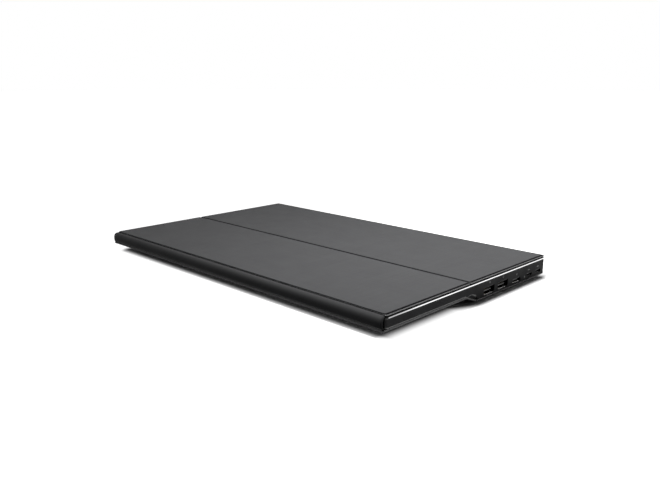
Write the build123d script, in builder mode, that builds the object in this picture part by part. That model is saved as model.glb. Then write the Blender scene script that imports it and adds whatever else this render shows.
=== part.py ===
# A portable monitor in its folio cover, closed and lying screen up on its feet.
# X runs along the spine with the sockets at +X, Y runs from the spine to the rear edge, and Z is up.
# The origin is under the middle of the closed monitor, on the surface that the feet stand on.
# Sizes are in millimetres. Places in the thin half are counted from the near wall, those in the thick half
# from the rear wall or the ramp, and those along the spine from the side walls.
import os
from math import radians, tan
from build123d import *

os.makedirs("parts", exist_ok=True)

# Monitor body: a thin front half, a ramp, and a thick rear half that holds the boards
body_width = 322.0
body_depth = 199.0
body_height = 14.7
thin_height = 8.6
thick_depth = 98.0
ramp_run = 14.7
front_radius = 3.0
rear_radius = 0.8
ramp_radius = 2.0
corner_radius = 1.2
shell_wall = 1.6
scoop_half_length = 9.0
scoop_height = 6.6
scoop_depth = 1.0
scoop_rim = 0.8
scoop_from_ramp = 7.2
scoop_land = 1.6

# Front frame and the metal trim let into its side
bezel_edge = 0.95
trim_height = 1.05
trim_thickness = 1.0
skirt_thickness = 1.5
lip_thickness = 1.0
window_side_lap = 5.7
window_near_lap = 6.2
window_far_lap = 5.4
window_chamfer = 0.6

# Folio cover
cover_gap = 0.2
skin_thickness = 0.35
board_thickness = 0.85
lining_thickness = 0.3
rim_drop = 0.65
rim_side = 1.0
rim_far = 1.8
panel_start = 0.8
near_panel_depth = 90.1
crease_width = 2.0
crease_axis_drop = 0.45
crease_valley = 0.75
groove_width = 0.75
groove_axis_drop = 0.75
groove_valley = 0.3
web_inset = 1.2
skin_rounding = 0.35
panel_corner = 1.5

# Spine
spine_gap = 1.7
spine_thickness = 2.3
spine_lip = 0.95
spine_sole = 0.8
spine_height = 9.7
spine_drop = 0.9
spine_radius = 3.4
spine_foot_radius = 2.2
spine_skin_thickness = 0.5
spine_length_inset = 0.4
spine_foot_clearance = 0.7

# Back flap, the base strip under the spine, and the fold between them
flap_thickness = 1.4
flap_inset = 0.6
flap_lead = 0.1
flap_tape = 0.2
flap_ramp_clearance = 0.15
flap_tape_clearance = 0.6
base_inset = 0.4
fold_width = 0.6
fold_thickness = 0.4

# Rubber feet
foot_drop = 0.6
foot_recess = 0.4
foot_length = 24.0
foot_width = 7.0
foot_from_side = 33.0
front_foot_from_ramp = 1.0
rear_foot_from_rear = 14.0

# Flat panel module under the front frame
module_side_space = 8.0
module_near_space = 7.4
module_far_space = 13.6
cell_inset = 1.5
cell_thickness = 1.2
diffuser_thickness = 0.3
prism_thickness = 0.25
guide_thickness = 1.0
reflector_thickness = 0.2
tray_thickness = 0.4
frame_wall = 2.4
light_bar_depth = 1.2
light_bar_gap = 0.2

# Timing board, its bent drive films and the cable to the main board
timing_length = 220.0
timing_depth = 14.0
timing_thickness = 0.8
timing_from_module_end = 1.0
film_width = 26.0
film_thickness = 0.15
film_pitch = 62.0
film_count = 4
film_rise = 0.3
film_lap = 5.0
cable_width = 20.0
cable_thickness = 0.3
cable_inset = 2.0
cable_socket_from_rear = 39.0
cable_slope = 5.0
cable_drop_from_timing = 3.0
cable_bend = 1.2

# Main board along the right wall
main_width = 98.5
main_right_gap = 0.9
main_from_ramp = 5.0
main_from_rear = 3.4
main_thickness = 1.0
main_standoff = 0.7
main_screw_inset = 5.0
main_screw_from_ports = 7.5
standoff_radius = 3.0
screw_radius = 1.0
screw_head_radius = 1.9
screw_head_height = 0.9
screw_hole_clearance = 0.2
screw_sink_angle = 90.0
screw_seat_gap = 0.05
shield_length = 34.0
shield_width = 30.0
shield_height = 2.6
shield_wall = 0.3
shield_from_right = 55.0
shield_from_rear = 49.0
chip_size = 14.0
chip_height = 1.2
socket_length = 24.0
socket_depth = 5.0
socket_height = 1.2
coil_size = 7.0
coil_height = 3.2
coil_pitch = 10.0
coil_count = 3
coil_from_right = 39.0
coil_from_rear = 23.0
can_radius = 3.1
can_height = 5.4
can_from_right = 29.0
can_from_ramp = 17.0
can_pitch = 8.0

# Sockets in the right wall: shell size, lower bevels, tongue, place, and the shell's sink into the main board.
# The place of each, and of the indicator and buttons, is a share of the thick half counted from the ramp.
port_depth = 11.0
port_recess = 0.5
port_shell = 0.35
port_clearance = 0.15
tongue_setback = 1.3
insert_depth = 3.0
wide_port_width = 14.1
wide_port_height = 5.6
wide_bevel = 2.0
wide_bevel_height = 1.6
wide_tongue_width = 9.8
wide_tongue_height = 1.4
wide_port_sink = 0.95
first_wide_port_share = 0.166
second_wide_port_share = 0.358
mini_port_width = 11.2
mini_port_height = 3.1
mini_bevel = 1.1
mini_bevel_height = 1.0
mini_tongue_width = 7.8
mini_tongue_height = 0.8
mini_port_sink = 0.75
mini_port_share = 0.564
micro_port_width = 7.5
micro_port_height = 2.5
micro_bevel = 0.9
micro_bevel_height = 0.9
micro_tongue_width = 4.4
micro_tongue_height = 0.6
micro_port_sink = 0.0
first_micro_port_share = 0.761
second_micro_port_share = 0.905
notch_clearance = 0.2

# Indicator light beside the small sockets
light_radius = 0.7
light_length = 6.0
light_share = 0.686

# Push buttons in the left wall, at the thick rear half
button_length = 9.0
button_width = 3.0
button_stand = 0.6
button_travel = 0.5
button_clearance = 0.3
button_flange = 0.8
button_flange_lap = 0.8
button_stem_radius = 1.0
button_stem_length = 1.0
button_chamfer = 0.4
button_height = 6.2
button_names = ["menu_button", "minus_button", "plus_button", "power_button"]
button_shares = [0.173, 0.316, 0.459, 0.724]
switch_size = 3.6
switch_height = 1.5
button_board_thickness = 1.0
button_board_height = 7.0
button_board_margin = 7.0
board_slot_clearance = 0.1
slot_rib_thickness = 1.2
slot_rib_depth = 1.6
slot_bite = 0.8
ribbon_width = 6.0
ribbon_thickness = 0.2
ribbon_from_rear = 28.0
ribbon_lap = 6.0
ribbon_rise = 4.0
ribbon_bend = 0.8

# Case screws, from below through posts in the rear shell into posts under the front frame
post_radius = 2.2
post_joint_drop = 3.0
screw_bite = 1.6
near_post_inset = 4.7
near_post_from_side = 41.0
ramp_post_from_ramp = 20.3
side_post_gap = 0.5
far_post_inset = 6.6
far_post_from_side = 31.0

# Support ribs under the module, and the steel plate that they carry over the thick half
rib_thickness = 1.0
rib_places = [-132.0, -88.0, -44.0, 0.0, 44.0, 88.0, 132.0]
thin_rib_from_near = 12.0
thin_rib_from_ramp = 4.3
thick_rib_count = 4
thick_rib_from_ramp = 13.0
thick_rib_from_rear = 33.0
plate_thickness = 1.0
plate_side_space = 13.0
plate_from_ramp = 3.0
plate_from_rear = 36.0

# Magnets that hold the cover shut
magnet_length = 20.0
magnet_width = 5.0
magnet_thickness = 0.6
catch_magnet_width = 3.6
catch_magnet_thickness = 1.2
magnet_from_rear = 6.6
magnet_places = [-96.0, -48.0, 48.0, 96.0]



def thick_place(share):
    """A place along the side wall, as a share of the thick half counted from the ramp."""
    return y_ramp_end + share * thick_depth


# Levels and places that follow from the sizes above
overall_depth = body_depth + spine_gap + spine_thickness
y_rear = overall_depth / 2
y_front = y_rear - body_depth
x_side = body_width / 2
z_under = foot_drop
z_top = z_under + body_height
z_thin = z_top - thin_height
z_split = z_top - bezel_edge - trim_height
z_lip = z_top - lip_thickness
z_floor = z_under + shell_wall
z_cover = z_top + cover_gap
z_board = z_cover + lining_thickness
z_field = z_board + board_thickness + skin_thickness
z_rim = z_field - rim_drop
z_cell = z_lip - cell_thickness
z_diffuser = z_cell - diffuser_thickness
z_prism = z_diffuser - prism_thickness
z_guide = z_prism - guide_thickness
z_reflector = z_guide - reflector_thickness
z_tray = z_reflector - tray_thickness
z_timing = z_tray - timing_thickness
z_main_under = z_floor + main_standoff
z_main = z_main_under + main_thickness
z_post_joint = z_top - post_joint_drop
z_flap = z_thin - flap_thickness
y_ramp_end = y_rear - thick_depth
y_ramp_start = y_ramp_end - ramp_run
y_panel = y_front + panel_start
y_near_panel_end = y_panel + near_panel_depth
y_far_panel_start = y_near_panel_end + crease_width
y_field_end = y_rear - rim_far
y_groove = y_panel - groove_width
y_spine = y_front - spine_gap - spine_thickness
z_spine_top = z_field - spine_drop
z_spine_foot = z_spine_top - spine_height
y_flap = y_front - flap_lead
module_width = body_width - 2 * module_side_space
y_module = y_front + module_near_space
y_module_end = y_rear - module_far_space
module_depth = y_module_end - y_module
y_module_middle = y_module + module_depth / 2
z_plate = z_tray - plate_thickness
y_main_start = y_ramp_end + main_from_ramp
y_main_end = y_rear - main_from_rear
x_main_right = x_side - shell_wall - main_right_gap
x_main_left = x_main_right - main_width
x_port_front = x_side - port_recess
x_port_back = x_port_front - port_depth
wide_port_centre = z_main + wide_port_height / 2 - wide_port_sink
mini_port_centre = z_main + mini_port_height / 2 - mini_port_sink
micro_port_centre = z_main + micro_port_height / 2 - micro_port_sink
light_height = z_main + light_radius
x_flange = -x_side + shell_wall + button_clearance
x_stem_end = x_flange + button_flange + button_stem_length
x_switch = x_stem_end + button_travel + button_clearance
x_board_face = x_switch + switch_height
x_button_board = x_board_face + button_board_thickness / 2
button_places = [thick_place(share) for share in button_shares]
y_button_board = min(button_places) - button_board_margin
y_button_board_end = max(button_places) + button_board_margin

# Hinge axes of the two valleys, both along X. The fold under the spine turns just below the flap's underside.
y_cover_hinge = y_panel - groove_width / 2
z_cover_hinge = z_field - groove_axis_drop
y_crease_hinge = y_near_panel_end + crease_width / 2
z_crease_hinge = z_field - crease_axis_drop


def save(piece, name):
    """Writes one finished piece to its own file."""
    piece.part.label = name
    export_step(piece.part, f"parts/{name}.step")


def post_places():
    """Where the case screws stand: (x, y, height of the outer surface under the post)."""
    side_x = x_side - trim_thickness - skirt_thickness - post_radius + side_post_gap
    near_x = x_side - near_post_from_side
    far_x = x_side - far_post_from_side
    near = [(x, y_front + near_post_inset, z_thin) for x in (-near_x, near_x)]
    sides = [(x, y_ramp_start - ramp_post_from_ramp, z_thin) for x in (-side_x, side_x)]
    far = [(x, y_rear - far_post_inset, z_under) for x in (-far_x, far_x)]
    return near + sides + far


def main_screw_places():
    """Where the main board is screwed down."""
    left = x_main_left + main_screw_inset
    near = y_main_start + main_screw_inset
    far = y_main_end - main_screw_inset
    right = x_port_back - main_screw_from_ports
    return [(left, near), (left, far), (right, near), (right, far)]


def foot_places():
    """Middle of each foot, as (x, y)."""
    foot_x = x_side - foot_from_side
    near = y_ramp_end + front_foot_from_ramp + foot_width / 2
    far = y_rear - rear_foot_from_rear - foot_width / 2
    return [(x, y) for x in (-foot_x, foot_x) for y in (near, far)]


# Outer form of the body: its side profile drawn once and carried along the spine
with BuildPart() as outer_form:
    with BuildSketch(Plane.YZ) as side_profile:
        with BuildLine():
            Polyline(
                (y_front, z_top),
                (y_rear, z_top),
                (y_rear, z_under),
                (y_ramp_end, z_under),
                (y_ramp_start, z_thin),
                (y_front, z_thin),
                close=True,
            )
        make_face()
        fillet(side_profile.vertices().group_by(Axis.X)[0], front_radius)
        fillet(side_profile.vertices().group_by(Axis.X)[-1], rear_radius)
        ramp_vertices = side_profile.vertices().filter_by_position(Axis.X, y_ramp_start - 1, y_ramp_end + 1)
        fillet(ramp_vertices, ramp_radius)
    extrude(amount=x_side, both=True)

    # Rounding the rear corners also rounds the long side edges that run on smoothly from them
    upright_edges = outer_form.edges().filter_by(Axis.Z).group_by(Axis.Y)[-1]
    fillet(upright_edges, corner_radius)

# Hollow of the body: the same profile drawn in by the wall, left solid behind the scooped corners
with BuildPart() as inner_form:
    with BuildSketch(Plane.YZ):
        add(side_profile.sketch_local)
        offset(amount=-shell_wall)
    extrude(amount=x_side - shell_wall, both=True)
    scoop_y = y_ramp_start + scoop_from_ramp
    for side in (-1, 1):
        with Locations((side * x_side, scoop_y, z_under)):
            Box(
                2 * (scoop_depth + scoop_land),
                2 * (scoop_half_length + scoop_land),
                2 * (scoop_height + scoop_land),
                mode=Mode.SUBTRACT,
            )


def port_outline(width, height, bevel, bevel_height):
    """Socket mouth with its two lower corners cut off, centred on the current place."""
    with BuildSketch(mode=Mode.PRIVATE) as outline:
        with BuildLine():
            Polyline(
                (-width / 2, height / 2),
                (-width / 2, bevel_height - height / 2),
                (bevel - width / 2, -height / 2),
                (width / 2 - bevel, -height / 2),
                (width / 2, bevel_height - height / 2),
                (width / 2, height / 2),
                close=True,
            )
        make_face()
    return outline.sketch


wide_outline = port_outline(wide_port_width, wide_port_height, wide_bevel, wide_bevel_height)
mini_outline = port_outline(mini_port_width, mini_port_height, mini_bevel, mini_bevel_height)
micro_outline = port_outline(micro_port_width, micro_port_height, micro_bevel, micro_bevel_height)
wide_tongue = (wide_tongue_width, wide_tongue_height)
mini_tongue = (mini_tongue_width, mini_tongue_height)
micro_tongue = (micro_tongue_width, micro_tongue_height)

# Each socket: node name, outline, tongue, place along the wall, centre height
ports = [
    ("video_port_1", wide_outline, wide_tongue, thick_place(first_wide_port_share), wide_port_centre),
    ("video_port_2", wide_outline, wide_tongue, thick_place(second_wide_port_share), wide_port_centre),
    ("mini_video_port", mini_outline, mini_tongue, thick_place(mini_port_share), mini_port_centre),
    ("power_port_1", micro_outline, micro_tongue, thick_place(first_micro_port_share), micro_port_centre),
    ("power_port_2", micro_outline, micro_tongue, thick_place(second_micro_port_share), micro_port_centre),
]


def side_plane(x, y, height):
    """A plane facing +X at a place along the side wall."""
    return Plane(origin=(x, y, height), x_dir=(0, 1, 0), z_dir=(1, 0, 0))


# Rear shell: hollow moulding with ramp, scooped corners, posts, standoffs, ribs, and side openings
with BuildPart() as rear_cover:
    add(outer_form.part)
    add(inner_form.part, mode=Mode.SUBTRACT)
    split(bisect_by=Plane.XY.offset(z_split), keep=Keep.BOTTOM)

    # Scoops over both ends of the ramp: shallow arched dishes with a sloping rim, pressed into the side walls
    for side in (-1, 1):
        for depth, narrowing in ((0, 0), (scoop_depth, scoop_rim)):
            scoop_plane = Plane(
                origin=(side * (x_side - depth), scoop_y, z_under),
                x_dir=(0, 1, 0),
                z_dir=(-side, 0, 0),
            )
            with BuildSketch(scoop_plane):
                Ellipse(scoop_half_length - narrowing, scoop_height - narrowing)
        loft(mode=Mode.SUBTRACT)

    # Ribs that carry the module
    thin_rib_ends = (y_front + thin_rib_from_near, y_ramp_start - thin_rib_from_ramp)
    with BuildSketch(Plane.XY.offset(z_tray)):
        with Locations(*[(x, sum(thin_rib_ends) / 2) for x in rib_places]):
            Rectangle(rib_thickness, thin_rib_ends[1] - thin_rib_ends[0])
    extrude(amount=z_thin + shell_wall / 2 - z_tray)
    thick_rib_ends = (y_ramp_end + thick_rib_from_ramp, y_rear - thick_rib_from_rear)
    with BuildSketch(Plane.XY.offset(z_plate)):
        with Locations(*[(x, sum(thick_rib_ends) / 2) for x in rib_places[:thick_rib_count]]):
            Rectangle(rib_thickness, thick_rib_ends[1] - thick_rib_ends[0])
    extrude(amount=z_under + shell_wall / 2 - z_plate)

    # Posts for the case screws, with their holes and the countersinks under them
    for x, y, z_outer in post_places():
        with BuildSketch(Plane.XY.offset(z_outer + shell_wall / 2)):
            with Locations((x, y)):
                Circle(post_radius)
        extrude(amount=z_post_joint - z_outer - shell_wall / 2)
    for x, y, z_outer in post_places():
        with Locations(Plane(origin=(x, y, z_outer), z_dir=(0, 0, -1))):
            CounterSinkHole(
                radius=screw_radius + screw_hole_clearance,
                counter_sink_radius=screw_head_radius,
                depth=z_post_joint - z_outer,
                counter_sink_angle=screw_sink_angle,
            )

    # Standoffs under the main board
    for x, y in main_screw_places():
        with BuildSketch(Plane.XY.offset(z_under + shell_wall / 2)):
            with Locations((x, y)):
                Circle(standoff_radius)
        extrude(amount=z_main_under - z_under - shell_wall / 2)
        with BuildSketch(Plane.XY.offset(z_main_under)):
            with Locations((x, y)):
                Circle(screw_radius)
        extrude(amount=z_under + shell_wall / 2 - z_main_under, mode=Mode.SUBTRACT)

    # Socket openings in the right wall
    for name, outline, tongue, y_port, centre in ports:
        with BuildSketch(side_plane(x_side + 1, y_port, centre)):
            add(outline)
            offset(amount=port_clearance, kind=Kind.INTERSECTION)
        extrude(amount=-shell_wall - 2, mode=Mode.SUBTRACT)
    with BuildSketch(side_plane(x_side + 1, thick_place(light_share), light_height)):
        Circle(light_radius)
    extrude(amount=-shell_wall - 2, mode=Mode.SUBTRACT)

    # Button openings in the left wall
    for place in button_places:
        with BuildSketch(side_plane(-x_side - 1, place, button_height)):
            RectangleRounded(
                button_length + 2 * button_clearance,
                button_width + 2 * button_clearance,
                button_width / 2 + button_clearance - 0.01,
            )
        extrude(amount=shell_wall + 2, mode=Mode.SUBTRACT)

    # Shallow pockets for the feet
    with BuildSketch(Plane.XY.offset(z_under)):
        with Locations(*foot_places()):
            RectangleRounded(foot_length, foot_width, foot_width / 2 - 0.01)
    extrude(amount=foot_recess, mode=Mode.SUBTRACT)

    # Slotted posts that hold the two ends of the button board
    for y_end, outward in ((y_button_board, -1), (y_button_board_end, 1)):
        y_post = y_end + outward * (slot_rib_depth / 2 - slot_bite)
        with BuildSketch(Plane.XY.offset(z_under + shell_wall / 2)):
            with Locations((x_button_board, y_post)):
                Rectangle(button_board_thickness + 2 * slot_rib_thickness, slot_rib_depth)
        extrude(amount=shell_wall / 2 + button_board_height)
    with BuildSketch(Plane.XY.offset(z_floor)):
        with Locations((x_button_board, (y_button_board + y_button_board_end) / 2)):
            Rectangle(
                button_board_thickness + 2 * board_slot_clearance,
                y_button_board_end - y_button_board + 2 * board_slot_clearance,
            )
    extrude(amount=button_board_height + 1, mode=Mode.SUBTRACT)
save(rear_cover, "rear_cover")

# Front frame round the screen: rounded near wall, skirt behind the trim, lip over the panel, screw posts
skirt_inset = trim_thickness + skirt_thickness
y_window = y_module + window_near_lap
y_window_end = y_module_end - window_far_lap
with BuildPart() as front_bezel:
    add(outer_form.part)
    split(bisect_by=Plane.XY.offset(z_split), keep=Keep.TOP)
    with BuildSketch(Plane.XY.offset(z_split)):
        with Locations((0, y_front + body_depth / 2)):
            Rectangle(body_width + 2, body_depth + 2)
        with Locations((0, y_front + (body_depth - trim_thickness) / 2 - 1)):
            Rectangle(body_width - 2 * trim_thickness, body_depth - trim_thickness + 2, mode=Mode.SUBTRACT)
    extrude(amount=trim_height, mode=Mode.SUBTRACT)
    with BuildSketch(Plane.XY.offset(z_split)):
        with Locations((0, y_front + body_depth / 2)):
            Rectangle(body_width - 2 * skirt_inset, body_depth - 2 * skirt_inset)
    extrude(amount=z_lip - z_split, mode=Mode.SUBTRACT)
    for x, y, z_outer in post_places():
        with BuildSketch(Plane.XY.offset(z_post_joint)):
            with Locations((x, y)):
                Circle(post_radius)
        extrude(amount=z_lip - z_post_joint)
        with BuildSketch(Plane.XY.offset(z_post_joint)):
            with Locations((x, y)):
                Circle(screw_radius)
        extrude(amount=screw_bite, mode=Mode.SUBTRACT)
    with BuildSketch(Plane.XY.offset(z_lip)):
        with Locations((0, (y_window + y_window_end) / 2)):
            Rectangle(module_width - 2 * window_side_lap, y_window_end - y_window)
    extrude(amount=lip_thickness, mode=Mode.SUBTRACT)
    window_edges = front_bezel.faces().sort_by(Axis.Z)[-1].inner_wires()[0].edges()
    chamfer(window_edges, window_chamfer)
save(front_bezel, "front_bezel")

# Metal trim: a U-shaped strip let into both sides and the rear, its ends following the rounded near wall
with BuildPart() as chrome_trim:
    add(outer_form.part)
    split(bisect_by=Plane.XY.offset(z_split), keep=Keep.TOP)
    split(bisect_by=Plane.XY.offset(z_split + trim_height), keep=Keep.BOTTOM)
    with BuildSketch(Plane.XY.offset(z_split)):
        with Locations((0, y_front + (body_depth - trim_thickness) / 2 - 1)):
            Rectangle(body_width - 2 * trim_thickness, body_depth - trim_thickness + 2)
    extrude(amount=trim_height, mode=Mode.SUBTRACT)
save(chrome_trim, "chrome_trim")


def sheet(name, width, depth, z_low, thickness, y_middle=y_module_middle):
    """One flat layer of the panel module."""
    with BuildPart() as layer:
        with BuildSketch(Plane.XY.offset(z_low)):
            with Locations((0, y_middle)):
                Rectangle(width, depth)
        extrude(amount=thickness)
    save(layer, name)


# Panel module, from the glass down: cell, films, light guide and light bar, reflector, frame, metal tray
film_space = 2 * (tray_thickness + frame_wall + light_bar_gap)
sheet_width = module_width - film_space
sheet_depth = module_depth - film_space
bar_space = light_bar_depth + light_bar_gap
sheet("lcd_cell", module_width - 2 * cell_inset, module_depth - 2 * cell_inset, z_cell, cell_thickness)
sheet("diffuser_sheet", sheet_width, sheet_depth, z_diffuser, diffuser_thickness)
sheet("prism_sheet", sheet_width, sheet_depth, z_prism, prism_thickness)
sheet(
    "light_guide",
    sheet_width,
    sheet_depth - bar_space,
    z_guide,
    guide_thickness,
    y_module_middle - bar_space / 2,
)
sheet("reflector_sheet", sheet_width, sheet_depth, z_reflector, reflector_thickness)
with BuildPart() as light_bar:
    with BuildSketch(Plane.XY.offset(z_guide)):
        with Locations((0, y_module_middle + (sheet_depth - light_bar_depth) / 2)):
            Rectangle(sheet_width, light_bar_depth)
    extrude(amount=guide_thickness)
save(light_bar, "light_bar")

with BuildPart() as panel_frame:
    with BuildSketch(Plane.XY.offset(z_reflector)):
        with Locations((0, y_module_middle)):
            Rectangle(module_width - 2 * tray_thickness, module_depth - 2 * tray_thickness)
            Rectangle(
                module_width - 2 * (tray_thickness + frame_wall),
                module_depth - 2 * (tray_thickness + frame_wall),
                mode=Mode.SUBTRACT,
            )
    extrude(amount=z_cell - z_reflector)
save(panel_frame, "panel_frame")

with BuildPart() as panel_tray:
    with BuildSketch(Plane.XY.offset(z_tray)):
        with Locations((0, y_module_middle)):
            Rectangle(module_width, module_depth)
    extrude(amount=z_prism - z_tray)
    with BuildSketch(Plane.XY.offset(z_reflector)):
        with Locations((0, y_module_middle)):
            Rectangle(module_width - 2 * tray_thickness, module_depth - 2 * tray_thickness)
    extrude(amount=z_prism - z_reflector, mode=Mode.SUBTRACT)
save(panel_tray, "panel_tray")

# Steel plate under the tray that carries the module over the hollow of the thick half
plate_ends = (y_ramp_end + plate_from_ramp, y_rear - plate_from_rear)
with BuildPart() as support_plate:
    with BuildSketch(Plane.XY.offset(z_plate)):
        with Locations((0, sum(plate_ends) / 2)):
            Rectangle(body_width - 2 * plate_side_space, plate_ends[1] - plate_ends[0])
    extrude(amount=plate_thickness)
save(support_plate, "support_plate")

# Timing board under the tray, at the rear edge of the module
y_timing_end = y_module_end - timing_from_module_end
with BuildPart() as timing_board:
    with BuildSketch(Plane.XY.offset(z_timing)):
        with Locations((0, y_timing_end - timing_depth / 2)):
            Rectangle(timing_length, timing_depth)
    extrude(amount=timing_thickness)
save(timing_board, "timing_board")


def strip(name, plane, points, bend, width, thickness, places):
    """A flat ribbon along a bent path in the given plane, copied to each place."""
    with BuildPart() as one_strip:
        with BuildLine(plane) as route:
            FilletPolyline(*points, radius=bend)
        start = Plane(origin=route.line @ 0, x_dir=plane.z_dir, z_dir=route.line % 0)
        with BuildSketch(start):
            Rectangle(width, thickness)
        sweep()
    with BuildPart() as strips:
        with Locations(*places):
            add(one_strip.part)
    save(strips, name)


# Bent films from the glass cell, round the module's rear edge, to the underside of the timing board
y_film_back = y_module_end + film_rise
z_film_top = z_cell + film_rise
z_film_low = z_timing - film_thickness / 2
film_middle = (film_count - 1) / 2
film_points = [
    (y_module_end - cell_inset, z_film_top),
    (y_film_back, z_film_top),
    (y_film_back, z_film_low),
    (y_timing_end - film_lap, z_film_low),
]
film_places = [((i - film_middle) * film_pitch, 0, 0) for i in range(film_count)]
strip("drive_films", Plane.YZ, film_points, film_thickness, film_width, film_thickness, film_places)

# Flat cable from the timing board down to its socket on the main board
cable_x = x_main_left + cable_inset + socket_length / 2
y_cable_socket = y_rear - cable_socket_from_rear
y_cable_top = y_timing_end - timing_depth
z_cable_top = z_timing - cable_thickness / 2
z_cable_low = z_main + socket_height + cable_thickness / 2
cable_points = [
    (y_cable_top + socket_depth, z_cable_top),
    (y_cable_top - cable_drop_from_timing, z_cable_top),
    (y_cable_socket + cable_slope, z_cable_low),
    (y_cable_socket - socket_depth / 2, z_cable_low),
]
strip("display_cable", Plane.YZ, cable_points, cable_bend, cable_width, cable_thickness, [(cable_x, 0, 0)])

# Main board, notched where the larger sockets sink into it and cleared round the far right post
with BuildPart() as main_board:
    with BuildSketch(Plane.XY.offset(z_main_under)):
        with Locations(((x_main_left + x_main_right) / 2, (y_main_start + y_main_end) / 2)):
            Rectangle(main_width, y_main_end - y_main_start)
        with Locations((x_side - far_post_from_side, y_rear - far_post_inset)):
            Circle(post_radius + 4 * notch_clearance, mode=Mode.SUBTRACT)
        with Locations(*main_screw_places()):
            Circle(screw_radius + screw_hole_clearance, mode=Mode.SUBTRACT)
        notches = [
            (first_wide_port_share, wide_port_width),
            (second_wide_port_share, wide_port_width),
            (mini_port_share, mini_port_width),
        ]
        for share, width in notches:
            with Locations((x_main_right, thick_place(share))):
                Rectangle(
                    2 * (x_main_right - x_port_back + notch_clearance),
                    width + 2 * notch_clearance,
                    mode=Mode.SUBTRACT,
                )
    extrude(amount=main_thickness)
save(main_board, "main_board")

# Scaler chip under a shield can
shield_x = x_side - shield_from_right
y_shield = y_rear - shield_from_rear
with BuildPart() as scaler_chip:
    with BuildSketch(Plane.XY.offset(z_main)):
        with Locations((shield_x, y_shield)):
            Rectangle(chip_size, chip_size)
    extrude(amount=chip_height)
save(scaler_chip, "scaler_chip")
with BuildPart() as board_shield:
    with BuildSketch(Plane.XY.offset(z_main)):
        with Locations((shield_x, y_shield)):
            Rectangle(shield_length, shield_width)
    extrude(amount=shield_height)
    with BuildSketch(Plane.XY.offset(z_main)):
        with Locations((shield_x, y_shield)):
            Rectangle(shield_length - 2 * shield_wall, shield_width - 2 * shield_wall)
    extrude(amount=shield_height - shield_wall, mode=Mode.SUBTRACT)
save(board_shield, "board_shield")

# Power parts: three square coils in a row and two round capacitors
can_x = x_side - can_from_right
y_can = y_ramp_end + can_from_ramp
with BuildPart() as power_parts:
    with BuildSketch(Plane.XY.offset(z_main)):
        with Locations((x_side - coil_from_right, y_rear - coil_from_rear)):
            with GridLocations(coil_pitch, 1, coil_count, 1):
                Rectangle(coil_size, coil_size)
    extrude(amount=coil_height)
    with BuildSketch(Plane.XY.offset(z_main)):
        with Locations((can_x, y_can), (can_x, y_can + can_pitch)):
            Circle(can_radius)
    extrude(amount=can_height)
save(power_parts, "power_parts")

# Sockets on the boards for the display cable and for the button ribbon
with BuildPart() as board_sockets:
    with BuildSketch(Plane.XY.offset(z_main)):
        with Locations((cable_x, y_cable_socket)):
            Rectangle(socket_length, socket_depth)
    extrude(amount=socket_height)
save(board_sockets, "board_sockets")

# Socket shells of bent sheet, open to the right, and the plastic inserts with their tongues
for name, outline, tongue, y_port, centre in ports:
    with BuildPart() as port_shell_piece:
        with BuildSketch(side_plane(x_port_back, y_port, centre)):
            add(outline)
        extrude(amount=port_depth)
        with BuildSketch(side_plane(x_port_back, y_port, centre)):
            add(outline)
            offset(amount=-port_shell, kind=Kind.INTERSECTION)
        extrude(amount=port_depth, mode=Mode.SUBTRACT)
    save(port_shell_piece, name)
    with BuildPart() as port_insert:
        with BuildSketch(side_plane(x_port_back, y_port, centre)):
            add(outline)
            offset(amount=-port_shell, kind=Kind.INTERSECTION)
        extrude(amount=insert_depth)
        with BuildSketch(side_plane(x_port_back, y_port, centre)):
            Rectangle(*tongue)
        extrude(amount=port_depth - tongue_setback)
    save(port_insert, name + "_insert")

# Indicator: a light pipe on the main board that ends flush in the right wall
with BuildPart() as status_light:
    with BuildSketch(side_plane(x_side, thick_place(light_share), light_height)):
        Circle(light_radius)
    extrude(amount=-light_length)
save(status_light, "status_light")

# Button board standing along the left wall, with a switch behind each button
with BuildPart() as button_board:
    with BuildSketch(Plane.XY.offset(z_floor)):
        with Locations((x_button_board, (y_button_board + y_button_board_end) / 2)):
            Rectangle(button_board_thickness, y_button_board_end - y_button_board)
    extrude(amount=button_board_height)
save(button_board, "button_board")
with BuildPart() as button_switches:
    for place in button_places:
        with BuildSketch(side_plane(x_switch, place, button_height)):
            Rectangle(switch_size, switch_size)
        extrude(amount=switch_height)
save(button_switches, "button_switches")

# Ribbon from the button board along the floor to the main board
x_ribbon = x_board_face + button_board_thickness + ribbon_thickness / 2
z_ribbon_floor = z_floor + ribbon_thickness / 2
z_ribbon_end = z_main + ribbon_thickness / 2
ribbon_points = [
    (x_ribbon, button_height),
    (x_ribbon, z_ribbon_floor),
    (x_main_left - ribbon_rise, z_ribbon_floor),
    (x_main_left, z_ribbon_end),
    (x_main_left + ribbon_lap, z_ribbon_end),
]
ribbon_places = [(0, y_rear - ribbon_from_rear, 0)]
upright_plane = Plane(origin=(0, 0, 0), x_dir=(1, 0, 0), z_dir=(0, -1, 0))
strip(
    "button_ribbon",
    upright_plane,
    ribbon_points,
    ribbon_bend,
    ribbon_width,
    ribbon_thickness,
    ribbon_places,
)

# Push buttons: cap through the wall, flange behind it, stem towards its switch
for name, place in zip(button_names, button_places):
    with BuildPart() as button:
        with BuildSketch(side_plane(x_flange, place, button_height)):
            RectangleRounded(button_length, button_width, button_width / 2 - 0.01)
        extrude(amount=-(x_flange + x_side + button_stand))
        chamfer(button.faces().sort_by(Axis.X)[0].edges(), button_chamfer)
        with BuildSketch(side_plane(x_flange, place, button_height)):
            Rectangle(button_length + 2 * button_flange_lap, button_width + 2 * button_flange_lap)
        extrude(amount=button_flange)
        with BuildSketch(side_plane(x_flange + button_flange, place, button_height)):
            Circle(button_stem_radius)
        extrude(amount=button_stem_length)
    save(button, name)

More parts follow.
